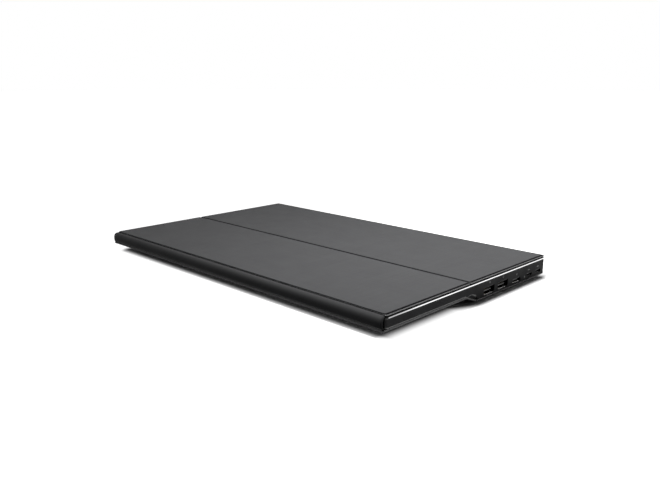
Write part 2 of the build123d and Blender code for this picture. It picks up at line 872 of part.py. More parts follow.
# Rubber feet, each bedded in its pocket
with BuildPart() as rubber_feet:
    with BuildSketch(Plane.XY):
        with Locations(*foot_places()):
            RectangleRounded(foot_length, foot_width, foot_width / 2 - 0.01)
    extrude(amount=z_under + foot_recess)
save(rubber_feet, "rubber_feet")

# Case screws: countersunk head and a long shank into the post of the front frame
head_radius = screw_head_radius - screw_seat_gap
head_height = (head_radius - screw_radius) / tan(radians(screw_sink_angle / 2))
with BuildPart() as case_screws:
    for x, y, z_outer in post_places():
        z_head = z_outer + screw_seat_gap
        with BuildSketch(Plane(origin=(x, y, 0), x_dir=(1, 0, 0), z_dir=(0, -1, 0))):
            with BuildLine():
                Polyline(
                    (0, z_head),
                    (head_radius, z_head),
                    (screw_radius, z_head + head_height),
                    (screw_radius, z_post_joint + screw_bite),
                    (0, z_post_joint + screw_bite),
                    close=True,
                )
            make_face()
        revolve(axis=Axis((x, y, 0), (0, 0, 1)))
save(case_screws, "case_screws")

# Short screws that hold the main board to its standoffs
with BuildPart() as board_screws:
    with BuildSketch(Plane.XY.offset(z_main)):
        with Locations(*main_screw_places()):
            Circle(screw_head_radius)
    extrude(amount=screw_head_height)
    with BuildSketch(Plane.XY.offset(z_main)):
        with Locations(*main_screw_places()):
            Circle(screw_radius)
    extrude(amount=z_under + shell_wall / 2 - z_main)
save(board_screws, "board_screws")

# Keeper magnets under the lip of the front frame, below those of the cover
magnet_centres = [(x, y_rear - magnet_from_rear) for x in magnet_places]
with BuildPart() as catch_magnets:
    with BuildSketch(Plane.XY.offset(z_lip)):
        with Locations(*magnet_centres):
            Rectangle(magnet_length, catch_magnet_width)
    extrude(amount=-catch_magnet_thickness)
save(catch_magnets, "catch_magnets")

# Back flap stuck under the thin half: adhesive sheet, stiff board, and skin round its edges
flap_side = x_side - flap_inset
ramp_lean = ramp_run / (z_thin - z_under)


def flap_slab(x_half, y_low, z_low, z_high, clearance):
    """A slab of the flap whose rear end leans like the ramp."""
    y_end = y_ramp_start - clearance
    with BuildPart() as slab:
        with BuildSketch(Plane.YZ):
            with BuildLine():
                Polyline(
                    (y_low, z_low),
                    (y_low, z_high),
                    (y_end + (z_thin - z_high) * ramp_lean, z_high),
                    (y_end + (z_thin - z_low) * ramp_lean, z_low),
                    close=True,
                )
            make_face()
        extrude(amount=x_half, both=True)
    return slab


z_tape = z_thin - flap_tape
flap_tape_sheet = flap_slab(
    flap_side - skin_thickness,
    y_flap + skin_thickness,
    z_tape,
    z_thin,
    flap_tape_clearance,
)
save(flap_tape_sheet, "flap_tape")
flap_board = flap_slab(
    flap_side - skin_thickness,
    y_flap + skin_thickness,
    z_flap + skin_thickness,
    z_tape,
    flap_ramp_clearance + skin_thickness,
)
save(flap_board, "flap_board")
flap_outside = flap_slab(flap_side, y_flap, z_flap, z_tape, flap_ramp_clearance)
with BuildPart() as flap_skin:
    add(flap_outside.part)
    fillet(flap_skin.edges().filter_by(Axis.X).group_by(Axis.Z)[0].sort_by(Axis.Y)[0], skin_rounding)
    add(flap_board.part, mode=Mode.SUBTRACT)
save(flap_skin, "flap_skin")


def spine_section(inset):
    """D-shaped section of the spine, hollowed for the rounded near wall and drawn in by the inset."""
    with BuildSketch(Plane.YZ) as section:
        with BuildLine():
            Polyline(
                (y_spine + inset, z_spine_foot + inset),
                (y_spine + inset, z_spine_top - inset),
                (y_groove, z_spine_top - inset),
                (y_groove, z_spine_foot + inset),
                close=True,
            )
        make_face()
        fillet(section.vertices().group_by(Axis.X)[0].sort_by(Axis.Y)[0], spine_foot_radius - inset)
        fillet(section.vertices().group_by(Axis.X)[0].sort_by(Axis.Y)[-1], spine_radius - inset)
        with BuildSketch(mode=Mode.PRIVATE) as hollow:
            with BuildLine():
                Polyline(
                    (y_front - spine_gap, z_spine_foot + spine_sole),
                    (y_front - spine_gap, z_spine_top - spine_lip),
                    (y_front + 2 * front_radius, z_spine_top - spine_lip),
                    (y_front + 2 * front_radius, z_spine_foot + spine_sole),
                    close=True,
                )
            make_face()
            fillet(hollow.vertices().group_by(Axis.X)[0], front_radius)
        add(hollow.sketch, mode=Mode.SUBTRACT)
        with BuildSketch(mode=Mode.PRIVATE) as foot_cut:
            with Locations((y_front - spine_foot_clearance, z_thin)):
                Rectangle(2 * front_radius, 2 * front_radius, align=(Align.MIN, Align.CENTER))
        add(foot_cut.sketch, mode=Mode.SUBTRACT)
    return section.sketch_local


# Spine: a formed core inside a leather-look skin that also covers both ends
spine_side = x_side - spine_length_inset
with BuildPart() as spine_core:
    with BuildSketch(Plane.YZ):
        add(spine_section(spine_skin_thickness))
    extrude(amount=spine_side - spine_skin_thickness, both=True)
save(spine_core, "spine_core")
with BuildPart() as spine_skin:
    with BuildSketch(Plane.YZ):
        add(spine_section(0))
    extrude(amount=spine_side, both=True)
    add(spine_core.part, mode=Mode.SUBTRACT)
save(spine_skin, "spine_skin")

# Base strip: the flap's sheet carried on under the spine, where its edge shows as a light line
y_base = y_spine + base_inset
y_base_end = y_flap - fold_width
with BuildPart() as spine_base:
    with BuildSketch(Plane.XY.offset(z_flap)):
        with Locations((0, (y_base + y_base_end) / 2)):
            Rectangle(2 * spine_side, y_base_end - y_base)
    extrude(amount=z_spine_foot - z_flap)
save(spine_base, "spine_base")


def panel_outline(width, y_low, y_high, rounded_end, radius):
    """Outline of a cover panel with the two corners of one end rounded: 0 is the near end, -1 the far end."""
    with BuildSketch(mode=Mode.PRIVATE) as outline:
        with Locations((0, (y_low + y_high) / 2)):
            Rectangle(width, y_high - y_low)
        fillet(outline.vertices().group_by(Axis.Y)[rounded_end], radius)
    return outline.sketch


def cover_panel(name, y_low, y_high, y_rim, rounded_end, magnets):
    """One stiff panel of the front cover: board, skin with its pressed rim, and lining."""
    field_width = body_width - 2 * rim_side
    board_outline = panel_outline(
        field_width - 2 * skin_thickness,
        y_low + skin_thickness,
        y_high - skin_thickness,
        rounded_end,
        panel_corner - skin_thickness,
    )
    field_outline = panel_outline(field_width, y_low, y_high, rounded_end, panel_corner)
    rim_outline = panel_outline(body_width, y_low, y_rim, rounded_end, panel_corner)
    with BuildPart() as board:
        with BuildSketch(Plane.XY.offset(z_board)):
            add(board_outline)
        extrude(amount=board_thickness)
        if magnets:
            with BuildSketch(Plane.XY.offset(z_board)):
                with Locations(*magnets):
                    Rectangle(magnet_length, magnet_width)
            extrude(amount=magnet_thickness, mode=Mode.SUBTRACT)
    save(board, name + "_board")
    with BuildPart() as skin:
        with BuildSketch(Plane.XY.offset(z_board)):
            add(rim_outline)
        extrude(amount=z_rim - z_board)
        with BuildSketch(Plane.XY.offset(z_board)):
            add(field_outline)
        extrude(amount=z_field - z_board)
        fillet(skin.faces().sort_by(Axis.Z)[-1].edges(), skin_rounding)
        with BuildSketch(Plane.XY.offset(z_board)):
            add(board_outline)
        extrude(amount=board_thickness, mode=Mode.SUBTRACT)
    save(skin, name + "_skin")
    with BuildPart() as lining:
        with BuildSketch(Plane.XY.offset(z_cover)):
            add(rim_outline)
        extrude(amount=lining_thickness)
    save(lining, name + "_lining")


cover_panel("near_panel", y_panel, y_near_panel_end, y_near_panel_end, 0, [])
cover_panel("far_panel", y_far_panel_start, y_field_end, y_rear, -1, magnet_centres)
with BuildPart() as cover_magnets:
    with BuildSketch(Plane.XY.offset(z_board)):
        with Locations(*magnet_centres):
            Rectangle(magnet_length, magnet_width)
    extrude(amount=magnet_thickness)
save(cover_magnets, "cover_magnets")


def valley_web(name, y_axis, z_axis, width, valley):
    """A strip of soft skin between two stiff pieces, with a round valley along the fold."""
    with BuildPart() as web:
        with BuildSketch(Plane.YZ):
            with Locations((y_axis, (z_cover + z_axis) / 2)):
                Rectangle(width, z_axis - z_cover)
            with Locations((y_axis, z_axis)):
                Circle(valley, mode=Mode.SUBTRACT)
        extrude(amount=x_side - web_inset, both=True)
    save(web, name)


# Soft hinges: crease between the panels, groove beside the spine, and fold between base strip and flap
valley_web("crease_web", y_crease_hinge, z_crease_hinge, crease_width, crease_valley)
valley_web("groove_web", y_cover_hinge, z_cover_hinge, groove_width, groove_valley)
with BuildPart() as spine_web:
    with BuildSketch(Plane.XY.offset(z_flap)):
        with Locations((0, y_flap - fold_width / 2)):
            Rectangle(2 * spine_side, fold_width)
    extrude(amount=fold_thickness)
save(spine_web, "spine_web")
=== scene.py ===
import math

import bmesh
import bpy
from mathutils import Matrix, Vector, noise


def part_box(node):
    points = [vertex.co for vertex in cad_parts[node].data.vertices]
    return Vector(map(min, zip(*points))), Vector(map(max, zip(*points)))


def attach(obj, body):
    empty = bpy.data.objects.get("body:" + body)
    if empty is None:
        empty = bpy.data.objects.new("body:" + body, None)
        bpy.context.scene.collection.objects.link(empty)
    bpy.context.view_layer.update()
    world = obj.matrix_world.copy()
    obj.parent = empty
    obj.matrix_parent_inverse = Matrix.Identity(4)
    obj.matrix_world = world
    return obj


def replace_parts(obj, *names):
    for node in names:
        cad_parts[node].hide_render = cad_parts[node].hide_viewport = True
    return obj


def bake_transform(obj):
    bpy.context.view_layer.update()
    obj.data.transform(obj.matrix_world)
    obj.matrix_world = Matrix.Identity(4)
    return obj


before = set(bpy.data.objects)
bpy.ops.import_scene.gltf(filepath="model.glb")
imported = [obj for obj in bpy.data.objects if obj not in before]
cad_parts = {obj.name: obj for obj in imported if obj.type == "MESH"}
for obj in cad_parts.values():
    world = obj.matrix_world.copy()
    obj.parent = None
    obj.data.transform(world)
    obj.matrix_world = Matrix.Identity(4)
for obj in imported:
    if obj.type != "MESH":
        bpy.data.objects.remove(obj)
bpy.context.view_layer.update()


# Camera: it stands off the socket end of the spine, a little above the cover, and looks across the panels.
def placed(name, data):
    """A new object in the scene that holds the data."""
    item = bpy.data.objects.new(name, data)
    bpy.context.scene.collection.objects.link(item)
    return item


camera_data = bpy.data.cameras.new("camera")
camera_data.lens = 37.43
camera_data.sensor_width = 36.0
camera = placed("camera", camera_data)
camera_right = Vector((0.71424, 0.69990, 0.0))
camera_down = Vector((0.17303, -0.17657, -0.96896))
camera_forward = Vector((-0.67817, 0.69207, -0.24722))
camera_turn = Matrix((camera_right, -camera_down, -camera_forward)).transposed()
camera.matrix_world = Matrix.Translation((0.41138, -0.40109, 0.15892)) @ camera_turn.to_4x4()
bpy.context.scene.camera = camera
bpy.context.scene.view_settings.view_transform = "Standard"


# Studio: white surroundings, a wide soft light from high above the spine, a round lamp beside it that fades
# towards the far end of the spine, and a white table that keeps the contact shadow.
def wire(source, target):
    """Links an output to an input of the same tree."""
    source.id_data.links.new(source, target)


def add_node(tree, kind, feeds={}, **settings):
    """A node with its settings. feeds gives inputs a value each, or another node's output."""
    node = tree.nodes.new(kind)
    for setting, value in settings.items():
        setattr(node, setting, value)
    for label, value in feeds.items():
        if isinstance(value, bpy.types.NodeSocket):
            wire(value, node.inputs[label])
        else:
            node.inputs[label].default_value = value
    return node


def maths(operation, *values, kind="ShaderNodeMath"):
    """The result of a sum on values, each a number or another node's output."""
    tree = next(value.id_data for value in values if isinstance(value, bpy.types.NodeSocket))
    return add_node(tree, kind, dict(enumerate(values)), operation=operation).outputs[0]


def vector_maths(operation, *values):
    """The result of a sum on vectors, each a tuple or another node's output."""
    return maths(operation, *values, kind="ShaderNodeVectorMath")


def mapped(value, start, end, low=0.0, high=1.0, **settings):
    """A value carried from one range to another, and held at its ends."""
    feeds = {"Value": value, "From Min": start, "From Max": end, "To Min": low, "To Max": high}
    return add_node(value.id_data, "ShaderNodeMapRange", feeds, **settings).outputs["Result"]


def axes(vector):
    """The three parts of a vector."""
    return add_node(vector.id_data, "ShaderNodeSeparateXYZ", {0: vector}).outputs


def object_place(tree):
    """Object coordinates."""
    return add_node(tree, "ShaderNodeTexCoord").outputs["Object"]


def seen_directly(tree):
    """1 for rays from the camera, from a gloss or through glass, and 0 for the rest."""
    rays = add_node(tree, "ShaderNodeLightPath").outputs
    either = maths("MAXIMUM", rays["Is Camera Ray"], rays["Is Glossy Ray"])
    return maths("MAXIMUM", either, rays["Is Transmission Ray"])


def made_mesh(name, shape, material):
    """The mesh of a finished bmesh, with its material."""
    mesh = bpy.data.meshes.new(name)
    shape.to_mesh(mesh)
    shape.free()
    mesh.materials.append(material)
    return mesh


sky = bpy.data.worlds.new("studio")
sky.use_nodes = True
sky_tree = sky.node_tree
sky_tree.nodes.clear()
sky_height = axes(add_node(sky_tree, "ShaderNodeTexCoord").outputs["Generated"])["Z"]
sky_ramp = add_node(sky_tree, "ShaderNodeValToRGB", {0: sky_height})
for element, level in zip(sky_ramp.color_ramp.elements, [0.008, 0.025]):
    element.color = (level, level, level, 1)
sky_soft = add_node(sky_tree, "ShaderNodeBackground", {0: sky_ramp.outputs[0]})
sky_white = add_node(sky_tree, "ShaderNodeBackground", {0: (1, 1, 1, 1)})
sky_parts = {0: seen_directly(sky_tree), 1: sky_soft.outputs[0], 2: sky_white.outputs[0]}
sky_mix = add_node(sky_tree, "ShaderNodeMixShader", sky_parts)
add_node(sky_tree, "ShaderNodeOutputWorld", {0: sky_mix.outputs[0]})
bpy.context.scene.world = sky

light_from = Vector((-0.34, -0.48, 0.809))
light_turn = (-light_from).to_track_quat("-Z", "Y").to_euler()
key_data = bpy.data.lights.new("key_light", "SUN")
key_data.angle = math.radians(42)
key_data.energy = 0.47
key = placed("key_light", key_data)
key.rotation_euler = light_turn
lamp_data = bpy.data.lights.new("round_lamp", "SPOT")
lamp_data.spot_size = math.radians(41)
lamp_data.spot_blend = 1.0
lamp_data.shadow_soft_size = 0.16
lamp_data.energy = 46
lamp = placed("round_lamp", lamp_data)
lamp_aim, lamp_distance = Vector((0.23, 0.14, 0.0)), 1.2
lamp.location = lamp_aim + light_from * lamp_distance
lamp.rotation_euler = light_turn

# The table glows from just outside the case outwards, later beside the thin half, so that the shadow stays
# close to the case and the rest of the table is white.
table_finish = bpy.data.materials.new("table_white")
table_finish.use_nodes = True
table_tree = table_finish.node_tree
table_shader = table_tree.nodes["Principled BSDF"]
for label, value in [("Base Color", (0.96, 0.96, 0.96, 1)), ("Roughness", 0.9), ("Specular IOR Level", 0.0)]:
    table_shader.inputs[label].default_value = value
case_half, shadow_reach, thin_shift = (0.163, 0.092, 0.0), 0.012, 0.011
thin_end, thick_start = -0.022, 0.002
table_place = object_place(table_tree)
beyond_x, beyond_y, _ = axes(vector_maths("SUBTRACT", vector_maths("ABSOLUTE", table_place), case_half))
table_side = maths("ADD", beyond_x, mapped(axes(table_place)["Y"], thin_end, thick_start, thin_shift, 0.0))
table_reach = maths("ADD", maths("MAXIMUM", table_side, 0.0), maths("MAXIMUM", beyond_y, 0.0))
table_rise = mapped(table_reach, 0.0, shadow_reach, interpolation_type="SMOOTHSTEP")
table_strength = maths("MULTIPLY", maths("MAXIMUM", seen_directly(table_tree), 0.45), table_rise)
table_glow = add_node(table_tree, "ShaderNodeEmission", {"Color": (1, 1, 1, 1), "Strength": table_strength})
table_shaders = {0: table_shader.outputs[0], 1: table_glow.outputs[0]}
table_sum = add_node(table_tree, "ShaderNodeAddShader", table_shaders)
wire(table_sum.outputs[0], table_tree.nodes["Material Output"].inputs[0])
table_shape = bmesh.new()
bmesh.ops.create_circle(table_shape, cap_ends=True, segments=96, radius=6.0)
placed("table_top", made_mesh("table_top", table_shape, table_finish))


# Rear shell: one hollow moulding of near-black ABS, thin in front and thick behind the ramp, with a fine
# spark-eroded grain. Its outer edges are lighter, partly worn and partly a painted highlight, and a painted
# highlight runs along the lower rim of the side walls and round the scooped corners.
def make_group(name, inputs, outputs, tree_kind="ShaderNodeTree"):
    """A node group, with its inputs and outputs as they are met inside. An input is (name, type, value)."""
    group = bpy.data.node_groups.new(name, tree_kind)
    for label, kind, value in inputs:
        socket = group.interface.new_socket(name=label, in_out="INPUT", socket_type="NodeSocket" + kind)
        if value is not None:
            socket.default_value = value
    for label, kind in outputs:
        group.interface.new_socket(name=label, in_out="OUTPUT", socket_type="NodeSocket" + kind)
    return group, add_node(group, "NodeGroupInput").outputs, add_node(group, "NodeGroupOutput").inputs


def noise_value(place, size, detail=3.0, rough=0.55):
    """A noise value at a place, with features of about the given size in metres."""
    scale = maths("DIVIDE", 1.0, size) if isinstance(size, bpy.types.NodeSocket) else 1.0 / size
    feeds = {"Vector": place, "Scale": scale, "Detail": detail, "Roughness": rough}
    return add_node(place.id_data, "ShaderNodeTexNoise", feeds).outputs[0]


def held(value):
    """A value held between 0 and 1."""
    return maths("MINIMUM", maths("MAXIMUM", value, 0.0), 1.0)


size_input = [("Size", "Float", 0.0004)]
pattern_outputs = [("Height", "Float"), ("Tone", "Float")]

moulded_grain, grain_in, grain_out = make_group("moulded_grain", size_input, pattern_outputs)
grain_place = object_place(moulded_grain)
grain_pits = noise_value(grain_place, grain_in["Size"], 2.0, 0.6)
grain_patch = noise_value(grain_place, maths("MULTIPLY", grain_in["Size"], 70.0))
wire(grain_pits, grain_out["Height"])
grain_tone = maths("ADD", maths("MULTIPLY", grain_pits, 0.45), grain_patch)
wire(maths("SUBTRACT", grain_tone, 0.22), grain_out["Tone"])

# Edge mask of a box: worn edges on most parts, a painted highlight on the rear shell and painted shade on the
# trim.
edge_inputs = [("Low", "Vector", (0, 0, 0)), ("High", "Vector", (0, 0, 0)), ("Width", "Float", 0.0006)]
edge_wear_and_painted_light, edge_in, edge_out = make_group("edge_wear_and_painted_light", edge_inputs, [("Mask", "Float")])
edge_place = object_place(edge_wear_and_painted_light)
from_low = vector_maths("SUBTRACT", edge_place, edge_in["Low"])
from_high = vector_maths("SUBTRACT", edge_in["High"], edge_place)
near_x, near_y, near_z = axes(vector_maths("MINIMUM", from_low, from_high))
larger = maths("MAXIMUM", near_x, near_y)
second_nearest = maths("MAXIMUM", maths("MINIMUM", near_x, near_y), maths("MINIMUM", larger, near_z))
edge_band = held(maths("SUBTRACT", 1.0, maths("DIVIDE", second_nearest, edge_in["Width"])))
edge_breaks = maths("SUBTRACT", noise_value(edge_place, 0.006, 4.0, 0.65), 0.3)
edge_breaks = held(maths("MULTIPLY", edge_breaks, 2.2))
wire(maths("MULTIPLY", edge_band, edge_breaks), edge_out["Mask"])

handling, handling_in, handling_out = make_group("handling", [("Size", "Float", 0.02)], [("Mask", "Float")])
handling_place = object_place(handling)
smears = noise_value(handling_place, handling_in["Size"], 5.0, 0.6)
specks = maths("GREATER_THAN", noise_value(handling_place, 0.0011, 1.0, 0.5), 0.71)
wire(maths("ADD", smears, maths("MULTIPLY", specks, 0.5)), handling_out["Mask"])


def mixed(factor, first, second):
    """A colour between two, each a colour or another node's output."""
    feeds = {"Factor": factor, "A": first, "B": second}
    mix = add_node(factor.id_data, "ShaderNodeMix", feeds, data_type="RGBA", clamp_factor=True)
    return mix.outputs["Result"]


def surface(name, pattern, values, dark, light, bump, rough, edges=None, **plain):
    """A material: a pattern group gives its relief and tone, and handling varies its roughness.

    edges is (low corner, high corner, width, edge colour, strength), where the edge colour is wear on most
    parts, a painted highlight on the rear shell and painted shade on the trim, and plain holds the shader's
    own constants by socket name with spaces as underscores."""
    material = bpy.data.materials.new(name)
    material.use_nodes = True
    tree = material.node_tree
    shader = tree.nodes["Principled BSDF"].inputs
    relief = add_node(tree, "ShaderNodeGroup", values, node_tree=pattern).outputs
    colour = mixed(relief["Tone"], (*dark, 1), (*light, 1))
    if edges:
        low, high, width, wear_and_painted_light, strength = edges
        edge_feeds = {"Low": low, "High": high, "Width": width}
        edge_mask = add_node(tree, "ShaderNodeGroup", edge_feeds, node_tree=edge_wear_and_painted_light)
        colour = mixed(maths("MULTIPLY", edge_mask.outputs["Mask"], strength), colour, (*wear_and_painted_light, 1))
    touched = add_node(tree, "ShaderNodeGroup", node_tree=handling).outputs["Mask"]
    bumps = add_node(tree, "ShaderNodeBump", {"Strength": 1.0, "Distance": bump, "Height": relief["Height"]})
    wire(colour, shader["Base Color"])
    wire(mapped(touched, 0.25, 0.8, *rough), shader["Roughness"])
    wire(bumps.outputs["Normal"], shader["Normal"])
    for label, value in plain.items():
        shader[label.replace("_", " ")].default_value = value
    return material


def tinted(material, mask, colour):
    """Lays another colour over a material's own where a mask in its tree is 1."""
    base = material.node_tree.nodes["Principled BSDF"].inputs["Base Color"]
    wire(mixed(mask, base.links[0].from_socket, (*colour, 1)), base)


def dress(node_names, material):
    """Puts a material on CAD nodes whose shape stays."""
    for node_name in node_names:
        for material_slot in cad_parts[node_name].material_slots:
            material_slot.material = material


def box_edges(node_name, width, wear_and_painted_light, strength):
    """The edges of a node's own box with their colour and strength, for wear and for painted light."""
    low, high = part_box(node_name)
    return (tuple(low), tuple(high), width, wear_and_painted_light, strength)


# The shell's box edges are painted lighter, partly as wear and partly as a painted highlight.
shell_black = surface(
    "shell_black", moulded_grain, {"Size": 0.00035},
    (0.0035, 0.0035, 0.0038), (0.0085, 0.0085, 0.0091), bump=0.00003, rough=(0.42, 0.62),
    edges=box_edges("rear_cover", 0.0013, (0.035, 0.035, 0.036), 0.7), Specular_IOR_Level=0.05,
)
shell_place = object_place(shell_black.node_tree)
shell_x, shell_y, shell_z = axes(shell_place)
ramp_start, ramp_end, thin_underside, thick_underside = -0.0112, 0.0035, 0.0067, 0.0006
scoop_centre, scoop_depth, scoop_height = (0.0, -0.004, 0.0006), 0.009, 0.0066
wall_inner, wall_outer, line_full, line_end, arch_share = 0.1592, 0.1600, 0.0009, 0.0014, 0.98
scoop_full, scoop_end, thin_share, thick_share = 0.0015, 0.0035, 0.35, 0.9
# Painted highlight: a light line along the lower edge of the side walls and round the arch of each scoop,
# weaker on the thin half.
at_wall = mapped(maths("ABSOLUTE", shell_x), wall_inner, wall_outer)
lower_edge = mapped(shell_y, ramp_start, ramp_end, thin_underside, thick_underside)
lower_edge_highlight = mapped(maths("SUBTRACT", shell_z, lower_edge), line_full, line_end, 1.0, 0.0)
scoop_place = vector_maths("SUBTRACT", shell_place, scoop_centre)
scoop_place = vector_maths("MULTIPLY", scoop_place, (0.0, 1 / scoop_depth, 1 / scoop_height))
scoop_reach = add_node(scoop_place.id_data, "ShaderNodeVectorMath", {0: scoop_place}, operation="LENGTH")
scoop_arch_highlight = maths("ABSOLUTE", maths("SUBTRACT", scoop_reach.outputs["Value"], arch_share))
scoop_fade = mapped(shell_y, scoop_full, scoop_end, 1.0, 0.0)
scoop_arch_highlight = maths("MULTIPLY", mapped(scoop_arch_highlight, 0.03, 0.10, 1.0, 0.0), scoop_fade)
shell_highlight = maths("MULTIPLY", maths("MAXIMUM", lower_edge_highlight, scoop_arch_highlight), at_wall)
shell_highlight = maths("MULTIPLY", shell_highlight, mapped(shell_y, -0.002, 0.006, thin_share, thick_share))
tinted(shell_black, shell_highlight, (0.45, 0.45, 0.45))
dress(["rear_cover"], shell_black)

# Front frame: a moulding of the same black ABS with a finer matt grain, closed over the panel module
# from above and screwed through the posts. Its outer edges are rubbed lighter.
dress(["front_bezel"], surface(
    "frame_black", moulded_grain, {"Size": 0.00022},
    (0.0055, 0.0055, 0.0060), (0.0120, 0.0120, 0.0126), bump=0.00002, rough=(0.38, 0.60),
    edges=box_edges("front_bezel", 0.0009, (0.040, 0.040, 0.041), 0.5), Specular_IOR_Level=0.05,
))

# Trim: a thin strip of bright nickel plate let into the side of the front frame, polished lengthwise, with
# hairlines. Its edges, its lower edge and its near end are painted dark as painted shade, and a stretch by
# the spine is painted duller as a dimmer reflection.
rolled_inputs = [("Size", "Float", 0.0002), ("Stretch", "Vector", (1, 1, 1))]
rolled_lines, rolled_in, rolled_out = make_group("rolled_lines", rolled_inputs, pattern_outputs)
rolled_place = vector_maths("MULTIPLY", object_place(rolled_lines), rolled_in["Stretch"])
rolled_fine = noise_value(rolled_place, rolled_in["Size"], 4.0, 0.7)
rolled_broad = noise_value(rolled_place, maths("MULTIPLY", rolled_in["Size"], 9.0), 2.0)
wire(rolled_fine, rolled_out["Height"])
rolled_tone = maths("ADD", maths("MULTIPLY", rolled_fine, 0.5), rolled_broad)
wire(maths("SUBTRACT", rolled_tone, 0.25), rolled_out["Tone"])
trim_bright = surface(
    "trim_bright", rolled_lines, {"Size": 0.0003, "Stretch": (0.06, 0.06, 1.0)},
    (0.62, 0.62, 0.63), (0.74, 0.74, 0.74), bump=0.000002, rough=(0.06, 0.20),
    edges=box_edges("chrome_trim", 0.0004, (0.30, 0.30, 0.30), 0.8), Metallic=1.0,
)
trim_y, trim_z = axes(object_place(trim_bright.node_tree))[1:]
# Painted reflection: a stretch of the trim by the spine is painted duller, as a dimmer reflection there.
shade_start, shade_full, shade_share = -0.058, -0.092, 0.9
trim_end_shade = mapped(trim_y, shade_start, shade_full, 0.0, shade_share, interpolation_type="SMOOTHSTEP")
tinted(trim_bright, trim_end_shade, (0.26, 0.26, 0.265))
# Painted shade: the lower edge and the near end of the trim are painted near-black.
shade_edge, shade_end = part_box("chrome_trim")[0].z + 0.0003, -0.0945
trim_edge_shade = maths("MAXIMUM", maths("LESS_THAN", trim_z, shade_edge), maths("LESS_THAN", trim_y, shade_end))
tinted(trim_bright, trim_edge_shade, (0.03, 0.03, 0.03))
dress(["chrome_trim"], trim_bright)

# Rubber feet: moulded pads of black silicone, matt with a faint stipple and picked-up dust, pressed into
# shallow pockets of the rear shell and held by adhesive.
dress(["rubber_feet"], surface(
    "foot_black", moulded_grain, {"Size": 0.0007},
    (0.012, 0.012, 0.012), (0.034, 0.033, 0.032), bump=0.00004, rough=(0.75, 0.95),
    edges=box_edges("rubber_feet", 0.001, (0.07, 0.07, 0.068), 0.6), Specular_IOR_Level=0.3,
))

# Screws: zinc-plated countersunk screws from below into the front frame, and pan heads that hold the main
# board to its standoffs, all with a cross recess and a rolled thread. The plating shows turning marks.
screw_zinc = surface(
    "screw_zinc", rolled_lines, {"Size": 0.00015, "Stretch": (1.0, 1.0, 0.3)},
    (0.30, 0.31, 0.32), (0.58, 0.58, 0.57), bump=0.000006, rough=(0.22, 0.42),
    Metallic=1.0,
)


def linked(name, mesh, body):
    """Puts a finished mesh in the scene under its name, riding on a body when one is given."""
    piece = placed(name, mesh)
    if body:
        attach(piece, body)
    return piece


def add_walls(shape, lower, upper):
    """The faces between two rings of vertices."""
    for i in range(len(lower)):
        j = (i + 1) % len(lower)
        shape.faces.new([lower[i], lower[j], upper[j], upper[i]])


def loft(name, rings, material, marks={}):
    """A closed mesh through rings of equal length, capped at both ends, with smooth faces.

    marks names point attributes and gives the value of each on every ring."""
    shape = bmesh.new()
    layers = {label: shape.verts.layers.float.new(label) for label in marks}
    rows = []
    for index, ring in enumerate(rings):
        row = [shape.verts.new((x / 1000, y / 1000, z / 1000)) for x, y, z in ring]
        for label, layer in layers.items():
            for vertex in row:
                vertex[layer] = marks[label][index]
        rows.append(row)
    for lower, upper in zip(rows, rows[1:]):
        add_walls(shape, lower, upper)
    shape.faces.new(rows[0])
    shape.faces.new(rows[-1])
    bmesh.ops.recalc_face_normals(shape, faces=shape.faces)
    mesh = made_mesh(name, shape, material)
    for polygon in mesh.polygons:
        polygon.use_smooth = True
    mesh.set_sharp_from_angle(angle=math.radians(40))
    return mesh


def solid_boxes(node_name):
    """The low and high corners of each separate solid of a CAD node, in millimetres and in a fixed order."""
    shape = bmesh.new()
    shape.from_mesh(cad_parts[node_name].data)
    bmesh.ops.remove_doubles(shape, verts=shape.verts, dist=1e-6)
    shape.verts.ensure_lookup_table()
    seen = set()
    boxes = []
    for first in shape.verts:
        if first.index in seen:
            continue
        seen.add(first.index)
        waiting = [first]
        places = []
        while waiting:
            vertex = waiting.pop()
            places.append(vertex.co * 1000)
            for edge in vertex.link_edges:
                other = edge.other_vert(vertex)
                if other.index not in seen:
                    seen.add(other.index)
                    waiting.append(other)
        boxes.append([[pick(place[i] for place in places) for i in range(3)] for pick in (min, max)])
    shape.free()
    return sorted(boxes)


def screw_mesh(name, boxes, head_at, sunk):
    """Screws with their heads at one end of their boxes: a cross recess, the head, and a threaded shank."""
    recess_depth, arm_length, arm_half = 0.7, 0.95, 0.24
    crest, root, turn, tip = 1.0, 0.82, 0.4, 0.7
    joined = bmesh.new()
    for low, high in boxes:
        x, y = (low[0] + high[0]) / 2, (low[1] + high[1]) / 2
        radius = (high[0] - low[0]) / 2
        z_face, z_tip = (low[2], high[2]) if head_at == "low" else (high[2], low[2])
        inward = 1 if head_at == "low" else -1

        def ring(reach, depth):
            """32 points at a depth below the face, on a circle or round the cross."""
            points = []
            for i in range(32):
                cosine, sine = math.cos(2 * math.pi * i / 32), math.sin(2 * math.pi * i / 32)
                length = reach
                if reach == "cross":
                    wide, narrow = max(abs(cosine), abs(sine)), min(abs(cosine), abs(sine))
                    length = min(arm_length / wide, arm_half / max(narrow, 0.001))
                points.append((x + length * cosine, y + length * sine, z_face + inward * depth))
            return points

        rings = [ring("cross", recess_depth), ring("cross", 0.02)]
        rings += [ring(radius - 0.08, 0.0), ring(radius, 0.06)]
        rings += [ring(crest, radius - crest)] if sunk else [ring(radius, 0.85), ring(crest, 0.9)]
        depth = radius if sunk else 1.1
        while depth + 0.5 < abs(z_tip - z_face):
            rings += [ring(root, depth), ring(crest, depth + 0.16), ring(crest, depth + 0.24)]
            depth += turn
        rings += [ring(tip, abs(z_tip - z_face))]
        mesh = loft(name, rings, screw_zinc)
        joined.from_mesh(mesh)
        bpy.data.meshes.remove(mesh)
    return made_mesh(name, joined, screw_zinc)


for piece_name, node_name, head_at, sunk in [
    ("cover_screws", "case_screws", "low", True),
    ("standoff_screws", "board_screws", "high", False),
]:
    screws = screw_mesh(piece_name, solid_boxes(node_name), head_at, sunk)
    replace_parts(linked(piece_name, screws, "monitor"), node_name)

